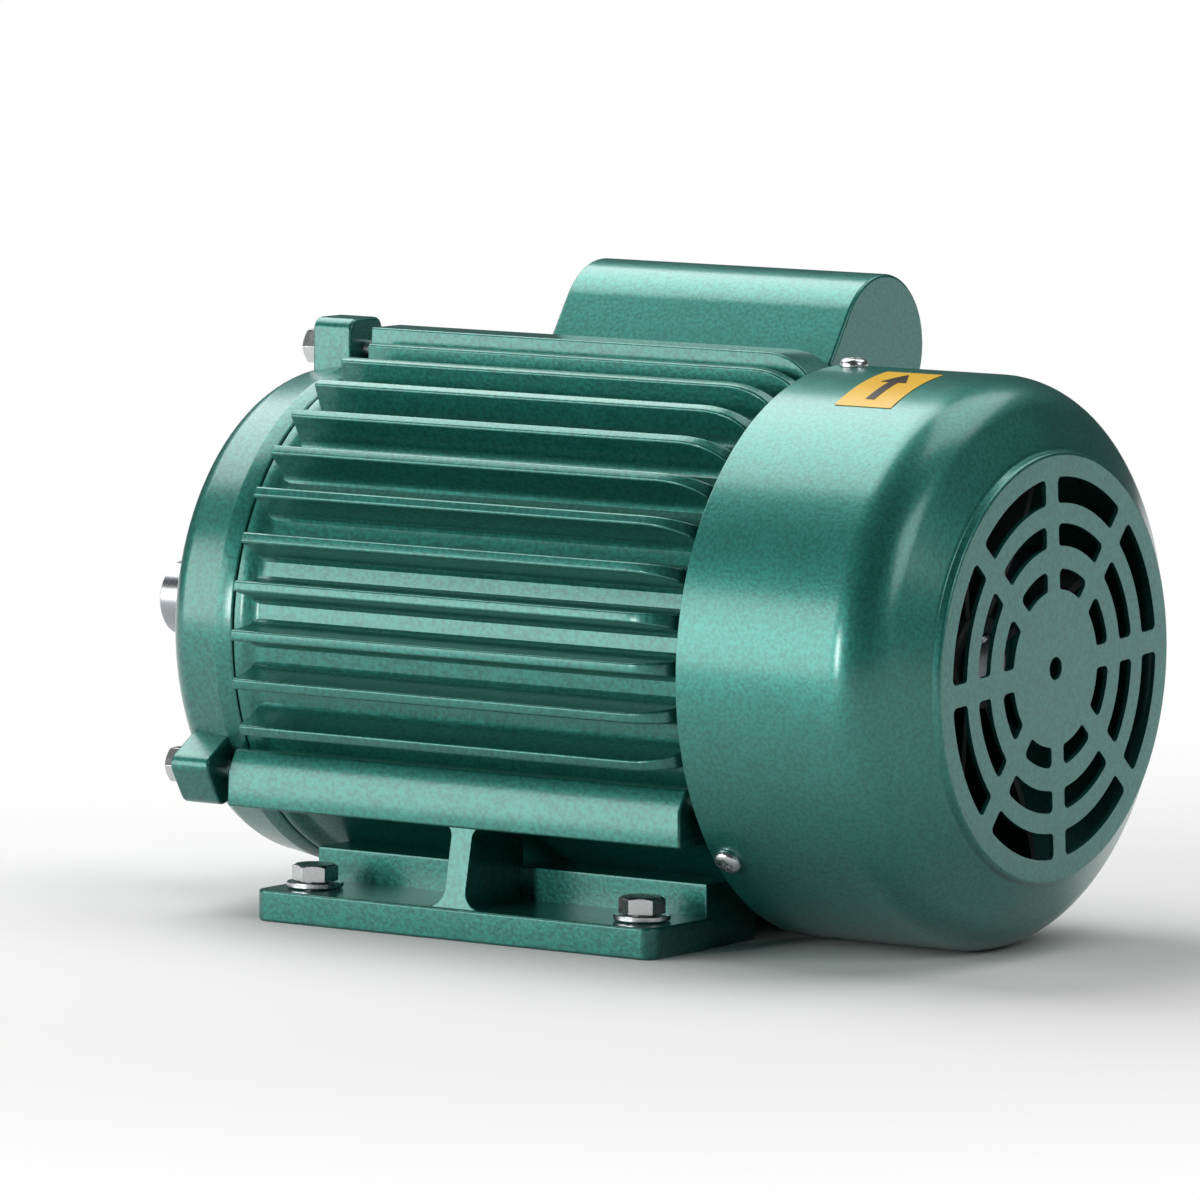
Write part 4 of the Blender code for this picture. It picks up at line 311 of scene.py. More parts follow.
def mottled(tree, shader, place, dark, light, size):
    """The base colour wandering between two shades in patches of a size in mm."""
    patches = noise(tree, place, size, PATCH_DETAIL)
    shade = blended(tree, patches, colour(dark), colour(light))
    tree.links.new(shade, shader.inputs["Base Color"])
    return patches, shade


def varied_gloss(tree, shader, pattern, low, high):
    """Roughness that follows a pattern between two values."""
    spread = add(tree, "ShaderNodeMapRange", {}, {"Value": pattern, "To Min": low, "To Max": high})
    tree.links.new(spread.outputs["Result"], shader.inputs["Roughness"])


def bumpy(tree, shader, pattern, strength, height):
    """Relief from a pattern, with its height in mm."""
    inputs = {"Height": pattern, "Strength": strength, "Distance": height * MM}
    bump = add(tree, "ShaderNodeBump", {}, inputs)
    tree.links.new(bump.outputs["Normal"], shader.inputs["Normal"])


# %% [markdown]
# ### Enamel
# The casting and the sheet are sprayed with a teal hammer enamel. Fine metal flakes in it give broad,
# coloured reflections, a thin clear layer on top gives the paler gloss, and it dries with a grain of a
# little over 1 mm, which breaks the reflections into small specks. On the casting the sand mould's grain
# adds to it. So the shader is part metal under a coat, the same fine noise moves the height and paints
# shade into the grain's hollows, and a slow noise lets colour and gloss wander a little over the piece.

# %% Enamel on the casting and on the sheet
FLAKES = 0.65
CLEAR_LAYER = {"coat_weight": 0.9, "coat_roughness": 0.2}
PATCH = 18.0
# Where the grain dips, the colour darkens to a third shade: painted shade in the hollows.
PAINTED_SHADE_START = 0.62
PAINTED_SHADE_END = 0.36
PAINTED_SHADE_SHARE = 0.6
GRAIN_STRENGTH = 0.5


def enamel(name, dark, light, hollow_shade, grain_size, relief, low, high):
    """Sprayed enamel: slow patches of two shades, relief from a fine grain, and painted shade in its hollows.
    """
    material, tree, shader, place = finish(name, metallic=FLAKES, **CLEAR_LAYER)
    patches, paint = mottled(tree, shader, place, dark, light, PATCH)
    varied_gloss(tree, shader, patches, low, high)
    grain = noise(tree, place, grain_size, GRAIN_DETAIL)
    # Painted shade: the low parts of the grain take the darker hollow colour.
    depth = {"Value": grain, "From Min": PAINTED_SHADE_START, "From Max": PAINTED_SHADE_END, "To Max": PAINTED_SHADE_SHARE}
    painted_hollow_shade = add(tree, "ShaderNodeMapRange", {}, depth)
    shade = blended(tree, painted_hollow_shade.outputs["Result"], paint, colour(hollow_shade))
    tree.links.new(shade, shader.inputs["Base Color"])
    bumpy(tree, shader, grain, GRAIN_STRENGTH, relief)
    return material


# The casting is a little darker and coarser than the smooth sheet.
# The third colour of each is the painted shade in the grain's hollows.
cast_enamel = enamel("hammer_enamel_on_cast_iron", "#186E64", "#217F74", "#0B4F46", 1.4, 0.28, 0.40, 0.50)
sheet_enamel = enamel("hammer_enamel_on_sheet", "#1F7A70", "#298A7F", "#145E54", 1.2, 0.16, 0.38, 0.46)
print("enamel for the casting and the sheet")

# %% [markdown]
# ### Metals
# Bolts and washers are zinc-plated, bearing rings are ground bright, their cages are brass, springs are
# blued, and the rotor's cage is cast. Each of these has one plain surface with a cloudy gloss. The shaft is
# ground after turning, so its roughness runs in fine bands round it. The cores are stacks of sheet steel and
# the coils are wire, which show as fine lines, so these three share a finish with bands across X.

# %% Zinc, bearing steel, brass, spring steel and aluminium
def plain_metal(name, dark, light, cloud, low, high):
    """A bare metal whose shade and gloss wander together in clouds of a size in mm."""
    material, tree, shader, place = finish(name, metallic=1.0)
    clouds, _ = mottled(tree, shader, place, dark, light, cloud)
    varied_gloss(tree, shader, clouds, low, high)
    return material


# Pale and a little blue, with a cloudy gloss.
zinc = plain_metal("zinc_plated_steel", "#B9BDBE", "#DDE0E0", 4, 0.20, 0.34)
# Bright and even, with sharp reflections.
bearing_steel = plain_metal("ground_bearing_steel", "#AEB1B4", "#C9CCCE", 6, 0.12, 0.2)
# Warm yellow, half dull from the press.
cage_brass = plain_metal("pressed_brass", "#A8853F", "#C7A45A", 5, 0.25, 0.4)
# Dark with a tint of blue.
spring_steel = plain_metal("blued_spring_steel", "#3A3F4A", "#565C66", 5, 0.3, 0.45)
# Light grey and dull, as it leaves the mould.
cage_aluminium = plain_metal("die_cast_aluminium", "#9A9EA2", "#B9BCBF", 3, 0.4, 0.55)
print("five plain metals")

# %% Shaft steel, core sheets and copper wire
# Blender's wave pattern turns by 20 radians for each unit of its scaled coordinate.
WAVE_TURN = 20
BAND_WANDER = 0.4
BAND_PATCH = 7
BAND_STRENGTH = 0.15


def banded(name, dark, light, spacing, low, high, metallic, relief):
    """A metal with fine bands across X, such as feed marks or stacked sheets."""
    material, tree, shader, place = finish(name, metallic=metallic)
    scale = 2 * math.pi / (WAVE_TURN * spacing * MM)
    inputs = {"Vector": place, "Scale": scale, "Distortion": BAND_WANDER}
    bands = add(tree, "ShaderNodeTexWave", {"bands_direction": "X"}, inputs).outputs["Fac"]
    mottled(tree, shader, place, dark, light, BAND_PATCH)
    varied_gloss(tree, shader, bands, low, high)
    bumpy(tree, shader, bands, BAND_STRENGTH, relief)
    return material


# The real feed marks are about 0.1 mm apart; they are drawn at 0.7 mm so that they show.
shaft_steel = banded("ground_shaft_steel", "#8E9296", "#A9ADB0", 0.7, 0.2, 0.32, 1.0, 0.02)
# The real sheets are 0.5 mm thick; they are drawn at 1 mm so that they show.
core_steel = banded("stacked_core_sheets", "#4A4B4D", "#66686A", 1.0, 0.4, 0.6, 0.9, 0.1)
# Brown and glossy under its varnish, with the lines of the wires.
copper_winding = banded("varnished_copper_wire", "#8A4A22", "#B86A35", 1.2, 0.25, 0.4, 0.8, 0.3)
print("three banded metals")

# %% [markdown]
# ### Plastic, rubber, board and label
# The gland is black nylon and the fan dark grey nylon, with a fine moulded grain. The seal and gasket are
# matt black rubber. The terminal block and the switch's board are brown pressed board. The label is
# yellow film with a black print.

# %% Nylon, rubber, board and label film
MOULD_STRENGTH = 0.4


def grained(name, dark, light, patch, grain_size, relief, low, high, ior):
    """A moulded or pressed surface: slow patches of two shades, and relief from a fine grain."""
    material, tree, shader, place = finish(name, ior=ior)
    patches, _ = mottled(tree, shader, place, dark, light, patch)
    varied_gloss(tree, shader, patches, low, high)
    bumpy(tree, shader, noise(tree, place, grain_size, GRAIN_DETAIL), MOULD_STRENGTH, relief)
    return material


# Deep black with a soft sheen.
black_nylon = grained("moulded_black_nylon", "#0E0F10", "#191A1B", 6, 0.8, 0.1, 0.38, 0.52, 1.53)
# Grey enough for the blades to be told apart behind the slots.
fan_nylon = grained("moulded_grey_nylon", "#37393A", "#46484A", 6, 0.8, 0.1, 0.4, 0.55, 1.53)
# Black and quite matt.
rubber = grained("moulded_rubber", "#141414", "#1F1F1F", 4, 0.6, 0.1, 0.65, 0.8, 1.52)
# Brown with the flecks of pressed paper.
board = grained("pressed_board", "#5A3A22", "#7A5130", 2, 0.5, 0.15, 0.5, 0.65, 1.5)
# Warm yellow with a soft gloss.
label_film = grained("printed_label_film", "#E2B024", "#ECC03E", 10, 1.5, 0.04, 0.3, 0.4, 1.5)
# A flat, nearly black print.
label_ink = grained("black_label_ink", "#1A1712", "#28231A", 5, 1.0, 0.02, 0.35, 0.45, 1.5)
print("plastic, rubber, board and label finishes")

# %% [markdown]
# ## The fan cowl
# The cowl is one pressing: a straight skirt, a round shoulder, a slanted ring and a raised disc. It
# could be a curved surface or a subdivided cylinder, but a turned line keeps the shoulder exact. The
# line goes out along the outside and back along the inside, so the sheet has its real thickness.

# %% The cowl's sheet, turned
COWL_RADIUS = 89.7
COWL_RIM = 87.0
COWL_FACE = 168.5
SHEET = 1.5
SHOULDER = (142.8, 70.7)
SHOULDER_RADIUS = 19.0
SHOULDER_STEPS = 14
CENTRE_HOLE = 3.6

outside = [(COWL_RIM, COWL_RADIUS - 0.5), (COWL_RIM + 0.2, COWL_RADIUS - 0.15), (COWL_RIM + 0.6, COWL_RADIUS)]
outside += arc(SHOULDER, SHOULDER_RADIUS, 90, 30, SHOULDER_STEPS)
outside += [(165.5, 68.9), (165.75, 68.3), (165.85, 67.9), (166.1, 67.6)]
outside += [(167.5, 67.2), (168.0, 67.0), (168.35, 66.6), (COWL_FACE, 66.0)]
inside = [(COWL_FACE - SHEET, 65.0), (165.1, 66.6)]
inside += arc(SHOULDER, SHOULDER_RADIUS - SHEET, 30, 90, SHOULDER_STEPS)
inside += [(COWL_RIM + 0.3, COWL_RADIUS - SHEET), (COWL_RIM, COWL_RADIUS - SHEET + 0.3)]
hole = [(COWL_FACE, CENTRE_HOLE), (COWL_FACE - SHEET, CENTRE_HOLE)]
cowl = turned("cowl", outside + hole + inside, 128)
print("cowl sheet", len(cowl.data.vertices), "vertices")

# %% [markdown]
# The disc has three rings of curved slots between eight spokes of even width. One slot of each ring is
# drawn with round corners, copied round the shaft, and all of them are cut out in one go.

# %% The cowl's slots
SLOT_RINGS = ((24.5, 31.0), (38.0, 45.0), (51.3, 59.5))
SPOKES = 8
SPOKE_WIDTH = 7.0
SPOKE_TURN = -3.8
SLOT_CORNER = 1.6
SLOT_STEPS = 6
SLOT_REACH = 4.0


def slot_half(low, high):
    """Half of a slot's outline, from the middle of its outer arc to the middle of its inner arc."""
    lean = math.pi / SPOKES
    spoke = Vector((math.cos(lean), math.sin(lean)))
    inward = Vector((math.sin(lean), -math.cos(lean)))
    off = SPOKE_WIDTH / 2 + SLOT_CORNER
    turns = [math.radians(angle) for angle in (0, 30, 60, 90)]
    halves = []
    for radius, side in ((high, 1), (low, -1)):
        reach = radius - side * SLOT_CORNER
        middle = spoke * math.sqrt(reach**2 - off**2) + inward * off
        out = middle.normalized() * side
        corner = [middle + SLOT_CORNER * (out * math.cos(t) - inward * math.sin(t)) for t in turns]
        end = math.degrees(math.atan2(corner[0].y, corner[0].x))
        halves.append(arc((0, 0), radius, 0, end, SLOT_STEPS)[:-1] + [tuple(point) for point in corner])
    return halves[0] + halves[1][::-1]


rings = []
for low, high in SLOT_RINGS:
    section = mirrored([(y, z) for z, y in slot_half(low, high)])
    slot = along("slot", section, COWL_FACE - SLOT_REACH, COWL_FACE + SLOT_REACH)
    rings.append(all_round(slot, SPOKES))
combine_at(cowl, SPOKE_TURN + 180 / SPOKES, joined("slots", rings), "DIFFERENCE")
soften(cowl, 0.35)
dress(cowl, sheet_enamel, "sheet_enamel", "fan_cowl")

# %% [markdown]
# ## The finned frame
# The frame is one iron casting: a barrel with radial fins, three bolt rails, two feet on legs, a gusset
# on each side and a flat seat for the capacitor cover. Every edge of a casting is a little round, and
# every fin grows out of the barrel in a small curve. So a fin is drawn as a section with a flared root,
# extruded along the shaft, and cut away in a curve at the fan end, which makes the nose. A bevel then runs
# round the tip and down the nose in one go, as the mould leaves it.

# %% One fin, extruded, cut to its nose and rounded
DRIVE_FACE = -88.0
FAN_FACE = 84.0
BORE = 72.8
BARREL = 78.0
FIN_TIP = 90.0
FIN_START = DRIVE_FACE + 6.0
FIN_END = FAN_FACE - 0.6
FIN_EDGE = 0.8
NOSE_LENGTH = 18.0
NOSE_END = 79.5
NOSE_STEPS = 10
OVERCUT = 2.0


def finned(name, half_section, start):
    """A fin on top of the barrel from half of its section, root first, with a nose at the fan end."""
    obj = along(name, mirrored(half_section), start, FIN_END)
    tip = half_section[-1][1]
    nose = [(FIN_END + OVERCUT, tip + OVERCUT), (FIN_END - NOSE_LENGTH, tip + OVERCUT)]
    for step in range(NOSE_STEPS + 1):
        turn = math.radians(90 * step / NOSE_STEPS)
        x = FIN_END - NOSE_LENGTH * (1 - math.sin(turn))
        nose.append((x, tip - (tip - NOSE_END) * (1 - math.cos(turn))))
    nose.append((FIN_END + OVERCUT, NOSE_END))
    combine(obj, across("nose", nose, -20, 20), "DIFFERENCE")
    return soften(obj, FIN_EDGE, 3, 60, clamp=False)


fin_section = [(5.3, 74.5), (5.3, 77.0), (4.6, 77.8), (3.75, 78.5), (3.1, 79.4), (2.7, 80.8), (1.7, FIN_TIP)]
first_fin = finned("fin", fin_section, FIN_START)
print("one fin", len(first_fin.data.polygons), "faces")

# %% [markdown]
# The fins stand every 10 degrees, apart from the rails, the underside and the capacitor seat. They are
# copies of the first one, turned round the shaft. At the drive end the barrel swells to a ring, level with
# the end cover's flange, and the fins start from it.

# %% The barrel with its fins
FIN_PITCH = 10.0
FIN_PHASE = 0.5
RAILS = (90.0, -31.0, 211.0)
RAIL_HALF_TURN = 6.0
SEAT_ANGLE = 124.0
SEAT_HALF_TURN = 17.5
END_RING = 80.2
RING_EDGE = 0.6
RING_FLAT = 1.4
RING_SLOPE = 8.0
RING_STEPS = 10
BARREL_EDGE = 0.8

fin_angles = [FIN_PHASE + FIN_PITCH * count for count in range(-3, 22)]
fin_angles = [a for a in fin_angles if min(abs(a - rail) for rail in RAILS) > RAIL_HALF_TURN]
fin_angles = [a for a in fin_angles if abs(a - SEAT_ANGLE) > SEAT_HALF_TURN]
fins = [copy_of(first_fin, "fin", turn_to(angle)) for angle in fin_angles]
bpy.data.objects.remove(first_fin, do_unlink=True)
barrel = [(DRIVE_FACE, BORE), (DRIVE_FACE, END_RING - RING_EDGE), (DRIVE_FACE + RING_EDGE, END_RING)]
for step in range(RING_STEPS + 1):
    sink = (1 - math.cos(math.pi * step / RING_STEPS)) / 2
    x = DRIVE_FACE + RING_FLAT + RING_SLOPE * step / RING_STEPS
    barrel.append((x, END_RING - (END_RING - BARREL) * sink))
barrel += [(FAN_FACE - BARREL_EDGE, BARREL), (FAN_FACE, BARREL - BARREL_EDGE), (FAN_FACE, BORE)]
casting = turned("frame_casting", barrel, 144)
combine(casting, joined("fins", fins))
print(len(fin_angles), "fins on the barrel")

# %% [markdown]
# The top rail is a broad fin with a flat top. The low rails are bars with an upright face, which the
# end covers are bolted to.

# %% The rails
TOP_RAIL_START = DRIVE_FACE + 1.2
RAIL_FACE = 79.0
RAIL_START = DRIVE_FACE - 2.8
RAIL_END = FAN_FACE - 2.0
top_section = [(9.4, 74.5), (9.4, 77.0), (8.8, 78.0), (8.2, 79.2), (8.0, 80.6), (7.9, 93.2)]
combine(casting, finned("top_rail", top_section, TOP_RAIL_START))
rail_section = [(RAIL_FACE, -55.4), (RAIL_FACE, -44.0), (74.8, -37.2), (66.2, -37.2), (52.0, -55.4)]
for side in (-1, 1):
    rail = along("low_rail", [(side * y, z) for y, z in rail_section], RAIL_START, RAIL_END)
    combine(casting, soften(rail, 0.9, 3))
print(len(RAILS), "rails")

# %% [markdown]
# The feet are flat plates with round corners, on two legs under the barrel. A gusset joins each plate
# to the rail above it, flared at both ends, with its outer face leaning in.

# %% The feet, legs and gussets
FOOT_TOP = -80.0
FOOT_HALF = (76.0, 85.0)
FOOT_CORNER = 5.0
FOOT_INNER = 50.0
LEG_HALF_LENGTH = 74.5
LEG_SIDES = (24.0, 52.0)
LEG_TOP = -69.5
GUSSET_HALF = 4.0
GUSSET_TOP = -55.0
LOW_FLARE = 6.0
HIGH_FLARE = 3.0
GUSSET_FOOT = 83.0
GUSSET_LEAN = (24.6, 4.8)


def foot_plate(side):
    """One foot: a plate with two round outer corners."""
    half_length, half_width = FOOT_HALF
    inset = (half_length - FOOT_CORNER, half_width - FOOT_CORNER)
    outline = arc(inset, FOOT_CORNER, 0, 90, 6) + arc((-inset[0], inset[1]), FOOT_CORNER, 90, 180, 6)
    outline += [(-half_length, FOOT_INNER), (half_length, FOOT_INNER)]
    return upright("foot_plate", [(x, side * y) for x, y in outline], -AXIS_HEIGHT, FOOT_TOP)


def gusset(side):
    """One gusset: a web with flared ends, its outer face cut off at a lean."""
    low = arc((GUSSET_HALF + LOW_FLARE, FOOT_TOP + LOW_FLARE), LOW_FLARE, 180, 270, 6)
    high = arc((GUSSET_HALF + HIGH_FLARE, GUSSET_TOP - HIGH_FLARE), HIGH_FLARE, 90, 180, 4)
    edge = [(low[-1][0], FOOT_TOP - 1.0), *low[::-1], *high[::-1], (high[0][0], GUSSET_TOP + 1.5)]
    web = across("gusset", mirrored(edge), side * FOOT_INNER, side * 90.0)
    pick(web)
    bpy.ops.object.mode_set(mode="EDIT")
    bpy.ops.mesh.select_all(action="SELECT")
    lean = Vector((0, side * GUSSET_LEAN[0], GUSSET_LEAN[1])).normalized()
    corner = Vector((0, side * GUSSET_FOOT, FOOT_TOP)) * MM
    bpy.ops.mesh.bisect(plane_co=corner, plane_no=lean, clear_outer=True, use_fill=True)
    return closed_up(web)


for side in (-1, 1):
    leg = [(side * y, z) for y, z in oblong(LEG_SIDES, (-AXIS_HEIGHT, LEG_TOP))]
    combine(casting, soften(along("leg", leg, -LEG_HALF_LENGTH, LEG_HALF_LENGTH), 0.8))
    combine(casting, soften(foot_plate(side), 0.9, 3))
    combine(casting, soften(gusset(side), 0.7))
print("feet, legs and gussets")

# %% [markdown]
# The seat is a flat block on the far shoulder of the barrel. The holes in the feet are drilled last, as
# they are in the real casting.

# %% The seat for the capacitor cover, and the bolt holes
SEAT_HALF = 27.0
SEAT_TOP = 86.0
SEAT_ROOT = 76.0
FOOT_HOLES = [(x, y) for x in (-62.5, 62.5) for y in (-70.0, 70.0)]
FOOT_HOLE = 5.0
half_turn = math.degrees(math.asin(SEAT_HALF / SEAT_ROOT))
seat_outline = [(-SEAT_HALF, SEAT_TOP), (SEAT_HALF, SEAT_TOP)]
seat_outline += arc((0, 0), SEAT_ROOT, 90 - half_turn, 90 + half_turn, 8)
combine_at(casting, SEAT_ANGLE, soften(along("seat", seat_outline, -58.0, 79.0), 1.0))
for x, y in FOOT_HOLES:
    combine(casting, upright("drill", moved(circle(FOOT_HOLE, 48), x, y), -95.0, -75.0), "DIFFERENCE")
dress(casting, cast_enamel, "cast_enamel", "stator_frame")

# %% [markdown]
# ## The end shields
# The drive-end shield closes the front and carries the front bearing. It is a deep cast cup with a rounded
# front edge and three ears for the long bolts, so it is turned from a line and the ears are joined on.

# %% The drive-end shield and its ears
SHIELD_FACE = -118.0
EAR_START = -109.0
EAR_END = -94.0
EAR_ROOT = 74.5
EAR_TOP = 95.5
EAR_HALF = 9.0


def bolt_ear(top, corner, start, end):
    """An ear on top of a shield, with round corners, for one of the long bolts."""
    outline = [(-EAR_HALF, EAR_ROOT)] + arc((corner - EAR_HALF, top - corner), corner, 180, 90, 5)
    outline += arc((EAR_HALF - corner, top - corner), corner, 90, 0, 5) + [(EAR_HALF, EAR_ROOT)]
    return soften(along("ear", outline, start, end), 1.1, 3)


cup = [(SHIELD_FACE, 14.3), (SHIELD_FACE, 32.6), (-117.8, 33.4), (-117.3, 33.9), (-117.2, 36.0)]
cup += arc((-106.5, 69.0), 10.0, 180, 90, 10)
cup += [(-94.6, 81.2), (-93.8, 81.4), (-88.9, 80.6), (-88.3, 80.1), (-88.3, 72.5), (-82.0, 72.5)]
cup += [(-82.0, 68.2), (-103.2, 68.2), (-110.0, 61.7), (-110.0, 33.8), (-97.2, 33.8), (-97.2, 26.3)]
cup += [(-112.5, 26.3), (-112.5, 13.5), (-117.2, 13.5)]
shield = turned("drive_end_shield_casting", cup, 112)
for angle in RAILS:
    combine_at(shield, angle, bolt_ear(EAR_TOP, 4.0, EAR_START, EAR_END))
dress(shield, cast_enamel, "cast_enamel", "drive_end_shield")

# %% [markdown]
# The shield at the other end hides under the cowl. It is flatter, and besides its ears it has two lugs for
# the cowl's screws and two posts inside for the board of the start switch. Its holes are drilled last.

# %% The fan-end shield
WALL_FACE = 95.3
LUG_ROOT = 78.0
LUG_TOP = 86.9
COWL_SCREW_X = 93.0
COWL_SCREW_ANGLES = (90.0, -41.0, 221.0)
REAR_BOLT_PLACE = 80.0
POST_ANGLES = (60.0, 300.0)
POST_PLACE = 38.0
rear_cup = [(111.5, 11.0), (111.5, 29.4), (111.2, 30.1), (110.3, 30.6), (97.4, 36.8), (96.0, 37.9)]
rear_cup += [(WALL_FACE, 39.6), (WALL_FACE, 79.0), (95.0, 79.7), (94.3, 80.0), (84.3, 80.0), (84.3, 72.5)]
rear_cup += [(78.0, 72.5), (78.0, 68.2), (88.8, 64.95), (88.8, 31.3), (90.1, 31.3), (90.1, 23.8)]
rear_cup += [(106.0, 23.8), (106.0, 11.0)]
rear_shield = turned("fan_end_shield_casting", rear_cup, 112)
lug_plan = moved(oblong((-4.4, 4.4), (-5.0, 5.0)), COWL_SCREW_X, 0)
for angle in COWL_SCREW_ANGLES[1:]:
    combine_at(rear_shield, angle, soften(upright("lug", lug_plan, LUG_ROOT, LUG_TOP), 0.8))
for angle in RAILS:
    combine_at(rear_shield, angle, bolt_ear(LUG_TOP, 3.0, 84.6, 95.0))
for angle in POST_ANGLES:
    combine_at(rear_shield, angle, along("post", moved(circle(3.5, 24), 0, POST_PLACE), 83.3, 90.3))
for angle in RAILS:
    drill = along("drill", moved(circle(3.3, 24), 0, REAR_BOLT_PLACE), 80.0, 100.0)
    combine_at(rear_shield, angle, drill, "DIFFERENCE")
for angle in COWL_SCREW_ANGLES:
    drill = upright("drill", moved(circle(2.3, 24), COWL_SCREW_X, 0), 84.9, 91.9)
    combine_at(rear_shield, angle, drill, "DIFFERENCE")
dress(rear_shield, cast_enamel, "cast_enamel", "fan_end_shield")

# %% [markdown]
# ## The capacitor cover
# A sheet cover with upright sides and a round top stands on its seat, high on the far side, and holds
# the start capacitor. The outline is extruded along the shaft, its edges are rounded, the inside is cut
# out, and a screw tab is joined to each end.

# %% The cover
COVER_START = -44.0
COVER_END = 65.0
COVER_RADIUS = 24.0
COVER_CENTRE = 108.5
COVER_BOTTOM = 88.1
TAB_SIDE = -9.0
TAB_HALF = 9.0
TAB_REACH = 11.0
TAB_SINK = 0.75
TAB_LIFT = 0.3


def dome(radius, bottom, start, end):
    """The shape of the cover, or of the room inside it."""
    outline = [(radius, bottom)] + arc((0, COVER_CENTRE), radius, 0, 180, 40) + [(-radius, bottom)]
    return along("dome", outline, start, end)


def tab(start, end):
    """A flat tab for a screw."""
    plan = oblong((start, end), (TAB_SIDE - TAB_HALF, TAB_SIDE + TAB_HALF))
    return soften(upright("tab", plan, COVER_BOTTOM + TAB_LIFT, COVER_BOTTOM + TAB_LIFT + SHEET), 0.5)


cover = soften(dome(COVER_RADIUS, COVER_BOTTOM, COVER_START, COVER_END), 1.1, 3)
cover.name = "capacitor_cover_sheet"
room = dome(COVER_RADIUS - SHEET, COVER_BOTTOM - 5.0, COVER_START + SHEET, COVER_END - SHEET)
combine(cover, room, "DIFFERENCE")
combine(cover, tab(COVER_START - TAB_REACH, COVER_START + TAB_SINK))
combine(cover, tab(COVER_END - TAB_SINK, COVER_END + TAB_REACH))
cover.data.transform(turn_to(SEAT_ANGLE))
dress(cover, sheet_enamel, "sheet_enamel", "capacitor_cover")

# %% [markdown]
# ## Fasteners
# A hexagon head is a six-sided bar whose corners were turned off in a lathe, which leaves the curved
# edges that every bolt head shows. So the hexagon is kept inside a turned, chamfered disc, and the
# shank is joined on. A pan screw is turned, and its cross recess is cut by two small blocks.

# %% A bolt and a screw, drawn along X with the head at negative x
TOP_SHARE = 0.96
HEAD_SLOPE = math.tan(math.radians(30))
POINT = 0.6
SPARE = 0.1


def hexagon_bolt(radius, height, shank, length):
    """A bolt whose head seats on x = 0 and whose shank points along +x."""
    head = along("bolt", circle(radius, 6), -height, 0)
    top = radius * math.cos(math.pi / 6) * TOP_SHARE
    lathe = [(-height, 0), (-height, top), (-height + (radius - top) * HEAD_SLOPE, radius)]
    lathe += [(SPARE, radius + SPARE), (SPARE, 0)]
    combine(head, turned("lathe", lathe, 48), "INTERSECT")
    rod = [(-1, 0), (-1, shank), (length - POINT, shank), (length, shank - POINT), (length, 0)]
    combine(head, turned("rod", rod, 32))
    return soften(head, 0.18, 2, 20)


def pan_screw(radius, height, shank, length):
    """A screw with a low round head and a cross recess."""
    crown = [(-height, 0), (-height, radius * 0.45), (-height * 0.93, radius * 0.7)]
    crown += [(-height * 0.72, radius * 0.9), (-height * 0.4, radius), (0, radius)]
    crown += [(0, shank), (length, shank), (length, 0)]
    screw = turned("screw", crown, 40)
    long_half, short_half = radius * 0.55, 0.45
    for wide, tall in ((long_half, short_half), (short_half, long_half)):
        recess = along("recess", oblong((-wide, wide), (-tall, tall)), -height - 1, -height * 0.5)
        combine(screw, recess, "DIFFERENCE")
    return soften(screw, 0.12, 2, 40)


# %% [markdown]
# One fastener of each size is modelled and copied to its seats. Each copy is a piece of its own, because
# each can be taken out.

# %% The fasteners at their seats
SEAT_GAP = 0.3
FRONT_BOLT_PLACE = 85.5
WASHER_SEAT = -77.9
FOOT_BOLT_SEAT = WASHER_SEAT + SEAT_GAP
COWL_SCREW_SEAT = COWL_RADIUS + 0.05
COVER_SCREW_SEAT = COVER_BOTTOM + TAB_LIFT + SHEET + SEAT_GAP


def stood(obj, name, seat, direction, node):
    """A copy of a fastener at its seat, with its shank along a direction."""
    turn = Vector(direction).to_track_quat("X", "Z").to_matrix().to_4x4()
    copy = copy_of(obj, name, Matrix.Translation(Vector(seat) * MM) @ turn)
    return dress(copy, zinc, "zinc", node)


def at(x, radius, angle, aside=0.0):
    """A place round the shaft, in mm, at an angle that counts up from the near side over the top."""
    return turn_to(angle) @ Vector((x, aside, radius))


shield_bolt = hexagon_bolt(6.2, 6.4, 3.0, 45.3)
rear_bolt = hexagon_bolt(5.6, 4.2, 3.0, 35.6)
foot_bolt = hexagon_bolt(7.4, 5.3, 4.0, 11.4)
washer_line = [(0, 4.3), (0.3, 4.1), (1.5, 4.1), (1.8, 4.4), (1.8, 8.6), (1.4, 9.0), (0.2, 9.0), (0, 8.8)]
washer = turned("washer", washer_line, 48)
cowl_screw = pan_screw(4.4, 2.6, 2.0, 4.5)
cover_screw = pan_screw(3.8, 2.4, 2.0, 11.2)
for number, angle in enumerate(RAILS, 1):
    seat = at(EAR_START - SEAT_GAP, FRONT_BOLT_PLACE, angle)
    stood(shield_bolt, f"shield_bolt_{number}", seat, (1, 0, 0), f"drive_shield_bolt_{number}")
for number, angle in enumerate(RAILS, 1):
    seat = at(WALL_FACE + SEAT_GAP, REAR_BOLT_PLACE, angle)
    stood(rear_bolt, f"rear_shield_bolt_{number}", seat, (-1, 0, 0), f"fan_shield_bolt_{number}")
for number, (x, y) in enumerate(FOOT_HOLES, 1):
    stood(foot_bolt, f"hold_down_bolt_{number}", (x, y, FOOT_BOLT_SEAT), (0, 0, -1), f"foot_bolt_{number}")
    stood(washer, f"hold_down_washer_{number}", (x, y, WASHER_SEAT), (0, 0, -1), f"foot_washer_{number}")
for number, angle in enumerate(COWL_SCREW_ANGLES, 1):
    seat = at(COWL_SCREW_X, COWL_SCREW_SEAT, angle)
    stood(cowl_screw, f"cowl_pan_screw_{number}", seat, at(0, -1, angle), f"cowl_screw_{number}")
